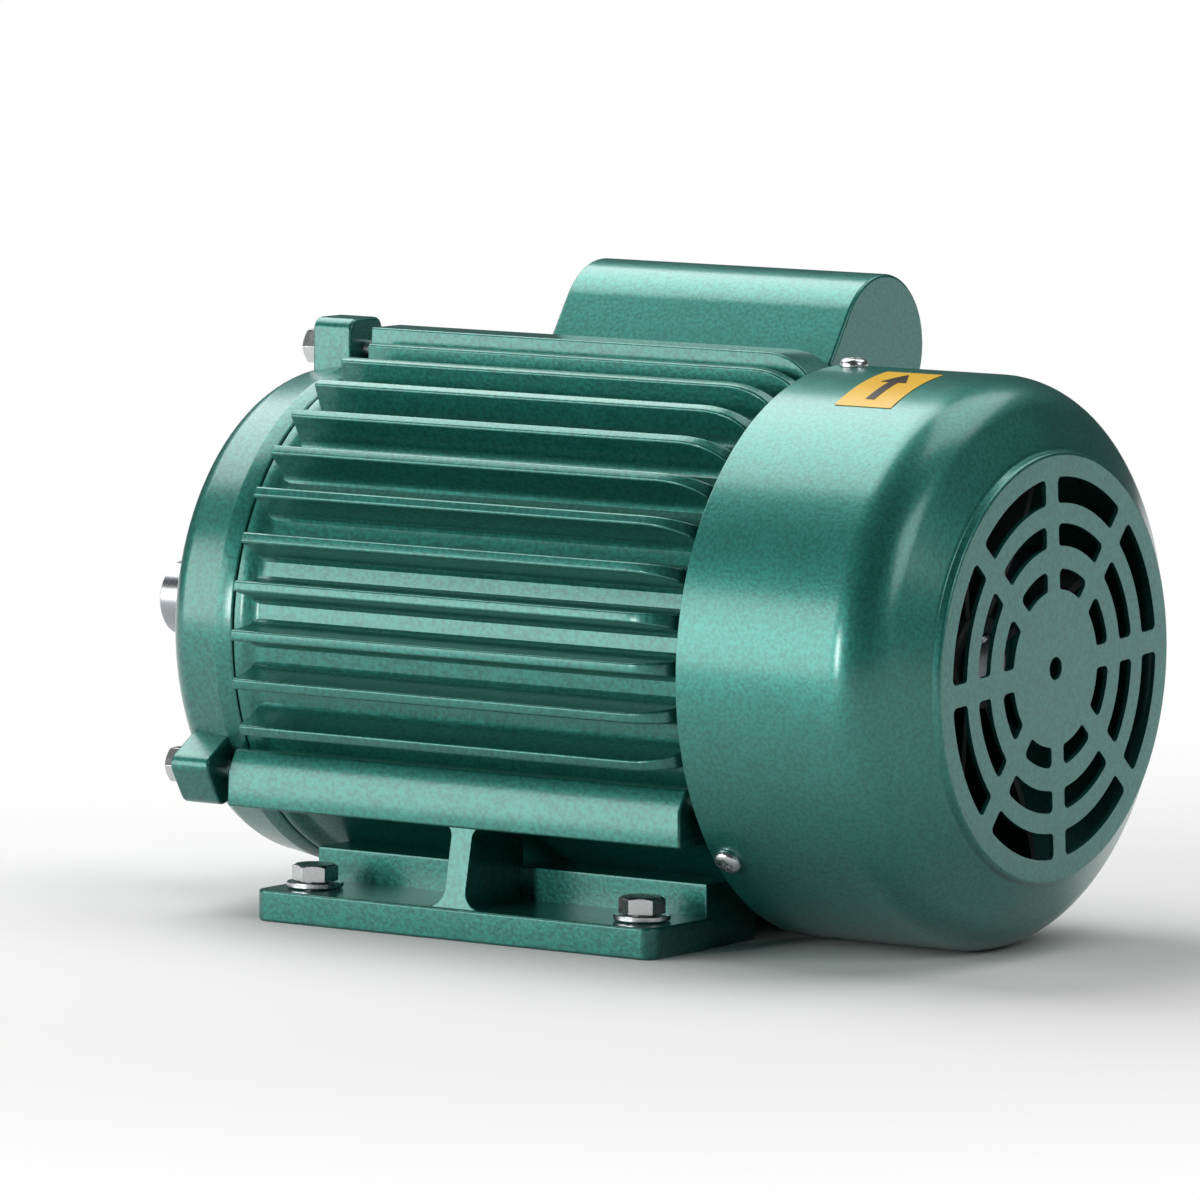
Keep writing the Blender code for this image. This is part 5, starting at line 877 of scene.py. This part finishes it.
for number, x in enumerate((COVER_START - TAB_REACH / 2, COVER_END + TAB_REACH / 2), 1):
    seat = at(x, COVER_SCREW_SEAT, SEAT_ANGLE, TAB_SIDE)
    stood(cover_screw, f"cover_pan_screw_{number}", seat, at(0, -1, SEAT_ANGLE), f"cover_screw_{number}")
for pattern in (shield_bolt, rear_bolt, foot_bolt, washer, cowl_screw, cover_screw):
    bpy.data.objects.remove(pattern, do_unlink=True)

# %% [markdown]
# ## The shaft, its key and its seal
# The shaft is turned in steps for the bearings, the rotor, the switch and the fan. Its drive end has a
# centre hole and a keyway with round ends, milled into the top, and the key sits in it.

# %% The shaft and its key
SHAFT_END = -168.5
KEY_MIDDLE = -145.5


def key_plan(length, width):
    """A plan with two round ends, for the key or for the keyway."""
    straight = (length - width) / 2
    plan = arc((KEY_MIDDLE + straight, 0), width / 2, -90, 90, 12)
    return plan + arc((KEY_MIDDLE - straight, 0), width / 2, 90, 270, 12)


stem = [(SHAFT_END + 5.0, 0), (SHAFT_END + 1.2, 2.2), (SHAFT_END, 3.4), (SHAFT_END, 11.0)]
stem += [(SHAFT_END + 1.0, 12.0), (-118.5, 12.0), (-118.5, 12.5), (-96.9, 12.5), (-96.9, 15.5)]
stem += [(-93.2, 15.5), (-93.2, 14.0), (64.3, 14.0), (64.3, 12.5), (89.8, 12.5), (89.8, 10.0)]
stem += [(106.0, 10.0), (106.0, 9.0), (141.5, 9.0), (141.5, 8.0), (143.3, 8.0), (143.3, 9.0)]
stem += [(144.0, 9.0), (145.0, 8.0), (145.0, 0)]
shaft = turned("stepped_shaft", stem, 80)
combine(shaft, upright("keyway", key_plan(36.6, 8.6), 7.7, 17.7), "DIFFERENCE")
soften(shaft, 0.25)
dress(shaft, shaft_steel, "shaft_steel", "shaft", body="rotor")
key = soften(upright("milled_key", key_plan(36.0, 8.0), 8.0, 15.0), 0.4)
dress(key, shaft_steel, "shaft_steel", "shaft_key", body="rotor")

# %% [markdown]
# A rubber ring turns with the shaft, and its thin lip keeps water out of the front bearing. It is one
# turned line.

# %% The lip seal
lip = [(-122.8, 12.3), (-122.8, 14.7), (-122.4, 15.15), (-120.9, 15.2), (-120.2, 15.7), (-118.8, 17.9)]
lip += [(-118.8, 16.8), (-119.8, 15.2), (-118.8, 14.0), (-118.8, 12.3)]
dress(turned("lip_seal", lip, 80), rubber, "rubber", "shaft_seal", body="rotor")

# %% [markdown]
# ## The cable gland
# The supply cable comes in through a black nylon gland: a hexagon against the cover's wall and a
# ribbed dome nut that grips the cable. The dome is turned, its grip ribs are cut by a ring of rods, and
# the hexagon is drawn and joined on. A second, flat nut holds the gland from inside the cover.

# %% The gland and its nut
GLAND_PLACE = Vector((0, 63.94, 78.7))
GLAND_FACE = -44.3
GLAND_HEXAGON = 11.0
GLAND_BORE = 5.2
GLAND_RIBS = 16


def bored(obj, radius):
    """The piece with a round hole along its middle."""
    return combine(obj, along("bore", circle(radius, 40), -80.0, -20.0), "DIFFERENCE")


dome_nut = [(-62.3, GLAND_BORE), (-62.3, 7.0), (-61.8, 7.9), (-60.9, 8.8), (-59.6, 9.4), (-50.3, 9.4)]
dome_nut += [(-50.3, 9.0), (-44.6, 9.0), (-44.6, 7.8), (-35.7, 7.8), (-35.7, GLAND_BORE)]
gland = turned("gland_body", dome_nut, 64)
groove = along("groove", moved(circle(1.0, 10), 10.2, 0), -59.4, -52.0)
combine(gland, all_round(groove, GLAND_RIBS), "DIFFERENCE")
hexagon = soften(along("hexagon", circle(GLAND_HEXAGON, 6), GLAND_FACE - 6.0, GLAND_FACE), 0.6)
combine(gland, bored(hexagon, GLAND_BORE))
nut = bored(soften(along("gland_lock_nut", circle(GLAND_HEXAGON, 6), -42.2, -38.7), 0.4), 8.1)
for piece in (gland, nut):
    piece.data.transform(Matrix.Translation(GLAND_PLACE * MM))
dress(soften(gland, 0.2), black_nylon, "black_plastic", "cable_gland")
dress(nut, black_nylon, "black_plastic", "gland_nut")

# %% [markdown]
# ## The label on the cowl
# A small yellow label on top of the cowl shows which way the shaft turns. It is film, so it follows the
# cowl: a short line is spun through a part of a turn and thickened. The arrow is a flat shape kept
# inside a thin ring, so that it bends with the label.

# %% The label and its arrow
LABEL_X = (111.0, 131.5)
LABEL_ANGLES = (64.5, 84.5)
FILM = 0.15
ARROW_HALF = 1.6
ARROW_HEAD_HALF = 4.6
label = drawn("turning_label", [(x, 0, COWL_RADIUS + FILM) for x in LABEL_X])
sweep = math.radians(LABEL_ANGLES[1] - LABEL_ANGLES[0])
bpy.ops.mesh.spin(steps=18, angle=sweep, center=(0, 0, 0), axis=(1, 0, 0))
closed_up(label)
label.data.transform(turn_to(LABEL_ANGLES[0]))
modify(label, "SOLIDIFY", thickness=FILM * MM, offset=0.0)
dress(label, label_film, "sheet_enamel")
arrow_plan = [(-ARROW_HALF, -11), (ARROW_HALF, -11), (ARROW_HALF, 3), (ARROW_HEAD_HALF, 3), (0, 12)]
arrow_plan += [(-ARROW_HEAD_HALF, 3), (-ARROW_HALF, 3)]
arrow = upright("turning_arrow", moved(arrow_plan, sum(LABEL_X) / 2, 0), COWL_RADIUS - 4, COWL_RADIUS + 4)
arrow.data.transform(turn_to(sum(LABEL_ANGLES) / 2))
skin = COWL_RADIUS + 1.5 * FILM
combine(arrow, turned("ring", oblong((105, 137), (skin, skin + FILM)), 160), "INTERSECT")
dress(arrow, label_ink, "sheet_enamel")

# %% [markdown]
# ## The fan
# Behind the slots turns a radial fan, moulded in dark nylon: a hub, a back disc and eight straight blades,
# which blow alike both ways round. The hub and disc are one turned line. One blade is drawn from the side
# and given its thickness, turned to its place and joined on, and a small bevel stands for the mould's
# round edges.

# %% The fan's hub, disc and blades
FAN_BLADES = 8
BLADE_SHEET = 2.5
fan_hub = [(113.5, 9.3), (113.5, 48.0), (116.0, 48.0), (117.2, 30.0), (118.8, 20.0), (120.5, 17.4)]
fan_hub += [(123.0, 16.9), (140.7, 15.1), (141.5, 14.3), (141.5, 9.3)]
fan = turned("moulded_fan", fan_hub, 72)
blade_side = [(114.75, 13.0), (114.75, 73.5), (116.25, 75.0), (137.5, 75.0), (141.0, 73.6), (144.2, 70.4)]
blade_side += [(145.5, 67.0), (145.5, 48.0), (144.6, 40.0), (139.5, 13.0)]
for count in range(FAN_BLADES):
    blade = across("blade", blade_side, -BLADE_SHEET / 2, BLADE_SHEET / 2)
    combine_at(fan, 360 / FAN_BLADES * (count + 0.5), blade)
dress(soften(fan, 0.5), fan_nylon, "black_plastic", "cooling_fan", body="rotor")

# %% [markdown]
# ## The bearings
# Each bearing has two ground rings with a round track for the balls. The track and the small corner
# radii are all on the line that is turned. The balls are steel, in a brass band that keeps them apart, and
# the two turn together as one piece with two finishes.

# %% The bearing rings, and the balls in their cage
# Where each bearing sits, its start along the shaft, its bore and rim as radii, and its width.
BEARINGS = (("drive_end", -112.2, 12.5, 26.0, 15.0), ("fan_end", 90.1, 10.0, 23.5, 14.0))
BALL = 3.9
BALLS = 8
TRACK = BALL + 0.6
TRACK_REACH = TRACK - 1.0
CORNER = 0.8
BAND_HALF = BALL + 1.2
BAND_WALL = 0.9
SHAFT_FIT = 0.3


def bearing_ring(name, start, width, pitch, back, side):
    """One ring, its track facing out (-1) or in (1) from its back."""
    middle, end, shoulder = start + width / 2, start + width, pitch + side * TRACK_REACH
    half_turn = math.degrees(math.acos(TRACK_REACH / TRACK))
    track = arc((middle, 0), TRACK, 90 + half_turn, 90 - half_turn, 14)
    line = [(start, back - side * CORNER), (start, shoulder)]
    line += [(x, pitch + side * height) for x, height in track]
    line += [(end, shoulder), (end, back - side * CORNER), (end - CORNER, back), (start + CORNER, back)]
    return soften(turned(name, line, 72), 0.2, 2, 40)


def ball_cage(place, middle, pitch):
    """The brass band with its steel balls."""
    line = [(middle - BAND_HALF, pitch - BAND_WALL), (middle - BAND_HALF, pitch + BAND_WALL)]
    line += [(middle + BAND_HALF, pitch + BAND_WALL), (middle + BAND_HALF, pitch - BAND_WALL)]
    band = soften(turned(f"{place}_balls_in_cage", line, 72), 0.2)
    band_faces = len(band.data.polygons)
    balls = []
    for count in range(BALLS):
        fresh()
        spot = turn_to(360 / BALLS * count) @ Vector((middle, 0, pitch)) * MM
        bpy.ops.mesh.primitive_uv_sphere_add(segments=24, ring_count=16, radius=BALL * MM, location=spot)
        bpy.ops.object.transform_apply(location=True)
        balls.append(bpy.context.object)
    cage = joined(band.name, [band, *balls])
    dress(cage, cage_brass, "cage_brass", f"{place}_bearing_ball_cage", body=f"{place}_cage")
    cage.data.materials.append(bearing_steel)
    for face in cage.data.polygons[band_faces:]:
        face.material_index = 1


for place, start, bore, rim, width in BEARINGS:
    pitch = (bore + rim) / 2
    outer = bearing_ring(f"{place}_outer_race", start, width, pitch, rim, 1)
    dress(outer, bearing_steel, "bearing_steel", f"{place}_bearing_outer_ring")
    inner = bearing_ring(f"{place}_inner_race", start, width, pitch, bore + SHAFT_FIT, -1)
    dress(inner, bearing_steel, "bearing_steel", f"{place}_bearing_inner_ring", body="rotor")
    ball_cage(place, start + width / 2, pitch)

# %% [markdown]
# ## The rotor
# The rotor is a stack of round steel sheets with bars of aluminium cast through it. A ring closes the bars
# at each end, with short vanes on it that stir the air inside. The stack is turned and its bar holes are
# cut, and the cage is built up from twelve bars, two turned rings and the vanes.

# %% The rotor's stack and cage
STACK_HALF = 45.0
ROTOR_RADII = (14.3, 39.8)
BARS = 12
BAR_PLACE = 34.5
BAR = 2.1
BAR_HOLE = 2.4
VANES = 8
VANE_SECTION = oblong((-1.0, 1.0), (26.42, 36.08))


def bars(radius, reach):
    """The twelve bars as one shape, for the cage or for cutting their holes."""
    return all_round(along("bar", moved(circle(radius, 24), 0, BAR_PLACE), -reach, reach), BARS)


def sheet_stack(name, radii, steps):
    """A stack of round sheets, as long as the cores are."""
    inner, outer = radii
    line = [(-STACK_HALF, inner), (-STACK_HALF, outer), (STACK_HALF, outer), (STACK_HALF, inner)]
    return turned(name, line, steps)


stack = sheet_stack("rotor_stack", ROTOR_RADII, 96)
combine(stack, bars(BAR_HOLE, STACK_HALF + 4), "DIFFERENCE")
dress(soften(stack, 0.15), core_steel, "core_steel", "rotor_core", body="rotor")
cage = bars(BAR, STACK_HALF + 2.3)
cage.name = "rotor_cage_casting"
end_ring = [(45.3, 24.0), (45.3, 38.5), (54.3, 37.5), (54.3, 25.0)]
for side in (-1, 1):
    combine(cage, turned("end_ring", [(side * x, radius) for x, radius in end_ring], 96))
    for count in range(VANES):
        vane = along("vane", VANE_SECTION, side * 52.3, side * 57.8)
        combine_at(cage, 360 / VANES * (count + 0.5), vane)
dress(soften(cage, 0.3), cage_aluminium, "cage_aluminium", "rotor_cage", body="rotor")

# %% [markdown]
# ## The stator
# The stator is the half that stands still: a stack of steel sheets pressed into the frame, with slots round
# its bore, and copper coils that lie in the slots and turn back past each end in a round bundle. The slots
# and the coils in them are one section each, extruded and copied round the shaft. The bundles are turned.

# %% The stator's stack and coils
STATOR_RADII = (40.3, 72.5)
STATOR_SLOTS = 24
BUNDLE = 10.0
BUNDLE_CENTRE = (57.0, 57.0)
BUNDLE_START = STACK_HALF + 0.3


def in_every_slot(name, half_section, reach):
    """A section from half of its outline, extruded along the shaft and copied to every slot."""
    return all_round(along(name, mirrored(half_section), -reach, reach), STATOR_SLOTS)


stator = sheet_stack("stator_stack", STATOR_RADII, 144)
slot_section = [(1.5, 39.0), (1.5, 41.8), (3.0, 43.3), (3.0, 56.3)]
combine(stator, in_every_slot("slot", slot_section, STACK_HALF + 4), "DIFFERENCE")
dress(soften(stator, 0.15), core_steel, "core_steel", "stator_core")
coils = in_every_slot("stator_coils", [(2.7, 43.6), (2.7, 56.0)], STACK_HALF + 5.3)
bundle = [(BUNDLE_START, 62.0), *arc(BUNDLE_CENTRE, BUNDLE, 90, -90, 16), (BUNDLE_START, 52.0)]
for side in (-1, 1):
    combine(coils, turned("bundle", [(side * x, radius) for x, radius in bundle], 96))
dress(soften(coils, 0.3), copper_winding, "copper_winding", "stator_winding")

# %% [markdown]
# ## The start switch
# When the motor is up to speed, two weights swing out and draw a collar along the shaft, which squeezes
# a coil spring and lets the contact open. The collar is turned. The spring is a small circle swept by the
# Screw modifier, at one length, though a real spring gets shorter as the collar slides.

# %% The switch's collar and spring
WIRE = 0.5
COIL_RADIUS = 14.9
COIL_TURNS = 3
COIL_STEPS = 48
COIL_ENDS = (64.6, 72.8)
COIL_PITCH = (COIL_ENDS[1] - COIL_ENDS[0] - 2 * WIRE) / COIL_TURNS
spool = [(73.1, 12.8), (73.1, 17.0), (76.6, 17.0), (76.6, 24.0), (79.1, 24.0), (79.1, 12.8)]
collar = soften(turned("sliding_collar", spool, 72), 0.4)
dress(collar, black_nylon, "black_plastic", "switch_collar", body="switch_collar")
wire_round = [(x, 0, z) for x, z in moved(circle(WIRE, 12), COIL_ENDS[0] + WIRE, COIL_RADIUS)]
coil = drawn("coil_spring", [*wire_round, wire_round[0]])
bpy.ops.mesh.remove_doubles(threshold=WELD)
fresh()
sweep = {"axis": "X", "iterations": COIL_TURNS, "screw_offset": COIL_PITCH * MM}
modify(coil, "SCREW", steps=COIL_STEPS, render_steps=COIL_STEPS, **sweep)
pick(coil)
bpy.ops.object.mode_set(mode="EDIT")
bpy.ops.mesh.select_all(action="SELECT")
bpy.ops.mesh.fill_holes(sides=0)
closed_up(coil)
dress(coil, spring_steel, "spring_steel", "switch_spring", body="rotor")
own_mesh(coil)

# %% [markdown]
# The weights hang on pins in two ears of a hub on the shaft. Each is a steel block with a notch that
# straddles its ear. The board with the contact's two cheeks stands still on the posts of the shield.

# %% The switch's hub, weights and board
WEIGHT_ANGLES = (90.0, 270.0)
PIN_PLACE = (61.8, 28.0)
PIN = 1.2
PIN_FIT = 0.3
CONTACT_ANGLE = 180.0
CHEEK_PLACE = (5.8, 40.0)


def cross_pin(radius, reach):
    """A round bar across the shaft at the place of a weight's pin."""
    return across("pin", moved(circle(radius, 24), *PIN_PLACE), -reach, reach)


hub_line = [(59.3, 14.3), (59.3, 22.0), (64.3, 22.0), (64.3, 14.3)]
hub = soften(turned("switch_hub", hub_line, 72), 0.4)
for angle in WEIGHT_ANGLES:
    ear = along("ear", oblong((-3.0, 3.0), (20.0, 30.4)), 59.6, 64.0)
    combine_at(hub, angle, soften(ear, 0.5))
    combine_at(hub, angle, cross_pin(PIN, 6.3))
dress(hub, black_nylon, "black_plastic", "switch_carrier", body="rotor")
weight_plan = [(59.1, -6.3), (76.1, -6.3), (76.1, 6.3), (59.1, 6.3), (59.1, 3.3), (66.1, 3.3)]
weight_plan += [(66.1, -3.3), (59.1, -3.3)]
for letter, angle in zip("ab", WEIGHT_ANGLES):
    weight = soften(upright(f"fly_weight_{letter}", weight_plan, 25.0, 31.0), 0.5)
    combine(weight, cross_pin(PIN + PIN_FIT, 8.0), "DIFFERENCE")
    weight.data.transform(turn_to(angle))
    dress(weight, zinc, "zinc", f"switch_weight_{letter}", body=f"switch_weight_{letter}")
board_line = [(81.2, 27.0), (81.2, 46.0), (83.0, 46.0), (83.0, 27.0)]
switch_board = soften(turned("switch_board", board_line, 96), 0.2)
for side in (-1, 1):
    section = moved(oblong((-1.5, 1.5), (-3.0, 3.0)), side * CHEEK_PLACE[0], CHEEK_PLACE[1])
    combine_at(switch_board, CONTACT_ANGLE, soften(along("cheek", section, 79.1, 82.1), 0.3))
dress(switch_board, board, "board", "switch_plate")

# %% [markdown]
# ## The start capacitor
# Under the round cover lies the start capacitor, a black can with a rolled edge at each end and two flat
# terminals. The can is one turned line with the rolled edges on it.

# %% The capacitor's can and terminals
CAN_START = -8.5
CAN_END = 59.5
CAN_RADIUS = 18.5
CAN_CENTRE = 106.1
TERMINAL_SPREAD = 9.0
can_line = [(CAN_START + 1.2, 0), (CAN_START + 1.2, 16.0), (CAN_START, 16.4), (CAN_START, 17.4)]
can_line += [(CAN_START + 0.5, 18.2), (CAN_START + 1.5, CAN_RADIUS), (CAN_END - 1.5, CAN_RADIUS)]
can_line += [(CAN_END - 0.5, 18.2), (CAN_END, 17.2), (CAN_END, 0)]
can = turned("start_capacitor", can_line, 72)
for side in (-1, 1):
    section = moved(oblong((-0.4, 0.4), (-3.15, 3.15)), side * TERMINAL_SPREAD, 0)
    combine(can, soften(along("terminal", section, CAN_START - 6.0, CAN_START + 3.0), 0.2))
can.data.transform(turn_to(SEAT_ANGLE) @ Matrix.Translation((0, 0, CAN_CENTRE * MM)))
dress(can, black_nylon, "black_plastic", "capacitor")

# %% [markdown]
# A strap of bent steel sheet holds the can down on its seat. Half of its outline goes down along the can,
# round the foot and up the outside, the mirror image completes it, and it is extruded to its width.

# %% The capacitor's strap
STRAP_SHEET = 1.0
STRAP_INSIDE = CAN_RADIUS + 0.3
STRAP_OUTSIDE = STRAP_INSIDE + STRAP_SHEET
STRAP_FOOT = STRAP_OUTSIDE - 7.0
STRAP_BOTTOM = SEAT_TOP + 0.3
STRAP_X = (18.5, 32.5)
STRAP_STEPS = 24
strap_half = arc((0, CAN_CENTRE), STRAP_INSIDE, 90, 0, STRAP_STEPS)
strap_half += [(STRAP_INSIDE, STRAP_BOTTOM + STRAP_SHEET), (STRAP_FOOT, STRAP_BOTTOM + STRAP_SHEET)]
strap_half += [(STRAP_FOOT, STRAP_BOTTOM), (STRAP_OUTSIDE, STRAP_BOTTOM)]
strap_half += arc((0, CAN_CENTRE), STRAP_OUTSIDE, 0, 90, STRAP_STEPS)
strap = along("capacitor_strap", mirrored(strap_half), *STRAP_X)
strap.data.transform(turn_to(SEAT_ANGLE))
dress(soften(strap, 0.2), zinc, "zinc", "capacitor_clamp")

# %% [markdown]
# ## The pieces that stay as solids
# Five small, plain pieces inside the housing are carried over as they are, each with the finish of its
# real material: the contact's leaf, two springy rings, the terminal block and the gasket.

# %% Finishes for the carried-over solids
carried = {
    "switch_contact_arm": cage_brass,
    "wave_spring": spring_steel,
    "fan_clip": spring_steel,
    "terminal_block": board,
    "capacitor_gasket": rubber,
}
for name, material in carried.items():
    nodes[name].data.materials.clear()
    nodes[name].data.materials.append(material)
print(len(carried), "solids carried over")

# %% [markdown]
# ## The studio
# The motor stands on a plain pale floor that fades to white round it. Light that only bounces off the floor
# meets a darker grey there, so that the underside of the motor stays dark.

# %% Floor and sky
FADE_START = 0.2
FADE_END = 0.6
FLOOR_SIZE = 60
FLOOR_PATCH = 900
SKY_LEVEL = 0.05


def shown(tree):
    """1 for the rays that show the background: to the camera, in a gloss, or through glass."""
    rays = add(tree, "ShaderNodeLightPath").outputs
    seen = rays["Is Camera Ray"]
    for kind in ("Is Glossy Ray", "Is Transmission Ray"):
        seen = add(tree, "ShaderNodeMath", {"operation": "MAXIMUM"}, {0: seen, 1: rays[kind]}).outputs[0]
    return seen


fresh()
bpy.ops.mesh.primitive_grid_add(x_subdivisions=2, y_subdivisions=2, size=FLOOR_SIZE, location=(0, 0, 0))
floor = bpy.context.object
floor.name = "floor"
floor_paint, tree, shader, place = finish("matt_pale_floor", roughness=0.9)
_, paint = mottled(tree, shader, place, "#EDEDEC", "#F3F3F2", FLOOR_PATCH)
seen = shown(tree)
tree.links.new(blended(tree, seen, colour("#454746"), paint), shader.inputs["Base Color"])
reach = add(tree, "ShaderNodeVectorMath", {"operation": "LENGTH"}, {0: place})
ramp = {"Value": reach.outputs["Value"], "From Min": FADE_START, "From Max": FADE_END}
fade = add(tree, "ShaderNodeMapRange", {"interpolation_type": "SMOOTHSTEP"}, ramp)
amount = add(tree, "ShaderNodeMath", {"operation": "MULTIPLY"}, {0: fade.outputs["Result"], 1: seen})
white = add(tree, "ShaderNodeEmission", {}, {"Color": colour("#FFFFFF"), "Strength": 1.0})
layers = {"Fac": amount.outputs[0], 1: shader.outputs["BSDF"], 2: white.outputs["Emission"]}
both = add(tree, "ShaderNodeMixShader", {}, layers)
tree.links.new(both.outputs["Shader"], tree.nodes["Material Output"].inputs["Surface"])
floor.data.materials.append(floor_paint)

world = bpy.data.worlds.new("studio")
bpy.context.scene.world = world
world.use_nodes = True
sky = world.node_tree.nodes["Background"]
sky.inputs["Color"].default_value = colour("#FFFFFF")
sky.inputs["Strength"].default_value = SKY_LEVEL
print("floor that fades to white from", FADE_START, "to", FADE_END, "m")

# %% [markdown]
# As in the photograph, one soft panel hangs high behind the motor's left end and one stands low in front of
# its left end, so that the round sides show two bright bands with a darker one between them. A narrow
# strip gives the upright highlight on the cowl's shoulder. A panel behind and a weak one at the fan end
# lift what the others leave dark. The camera has the long lens and the viewing angle of the photograph: a
# little above the shaft, between the side and the fan end, tilted by half a degree.

# %% Lights and camera
MOTOR_MIDDLE = Vector((-0.002, 0.0, 0.1))
CAMERA_PLACE = Vector((1.7792, -2.6178, 0.4276))
CAMERA_TILT = math.radians(0.55)
LENS = 300
SENSOR = 36
FARTHEST = 200


def panel(name, place, width, height, power):
    """A soft oblong light that faces the motor."""
    light = bpy.data.lights.new(name, "AREA")
    light.shape = "RECTANGLE"
    light.size = width
    light.size_y = height
    light.energy = power
    lamp = bpy.data.objects.new(name, light)
    bpy.context.scene.collection.objects.link(lamp)
    lamp.location = place
    lamp.rotation_euler = (MOTOR_MIDDLE - Vector(place)).to_track_quat("-Z", "Y").to_euler()
    return lamp


panel("overhead_panel", (-0.85, 0.20, 1.35), 1.3, 1.3, 21)
panel("rear_panel", (0.5, 0.75, 1.6), 1.2, 1.2, 11)
panel("front_panel", (-1.1, -1.2, 0.38), 1.2, 0.75, 13)
panel("strip_panel", (-0.50, -2.35, 0.36), 0.22, 0.5, 14)
panel("fan_end_panel", (1.6, -0.2, 0.9), 0.7, 0.7, 5)
view = bpy.data.cameras.new("photo_view")
view.lens = LENS
view.sensor_width = SENSOR
view.clip_end = FARTHEST
camera = bpy.data.objects.new("photo_view", view)
bpy.context.scene.collection.objects.link(camera)
camera.location = CAMERA_PLACE
aim = (MOTOR_MIDDLE - CAMERA_PLACE).to_track_quat("-Z", "Y")
camera.rotation_euler = (aim @ Quaternion((0, 0, 1), CAMERA_TILT)).to_euler()
bpy.context.scene.camera = camera
bpy.context.scene.view_settings.view_transform = "Standard"
print("camera", round((CAMERA_PLACE - MOTOR_MIDDLE).length, 3), "m from the motor")
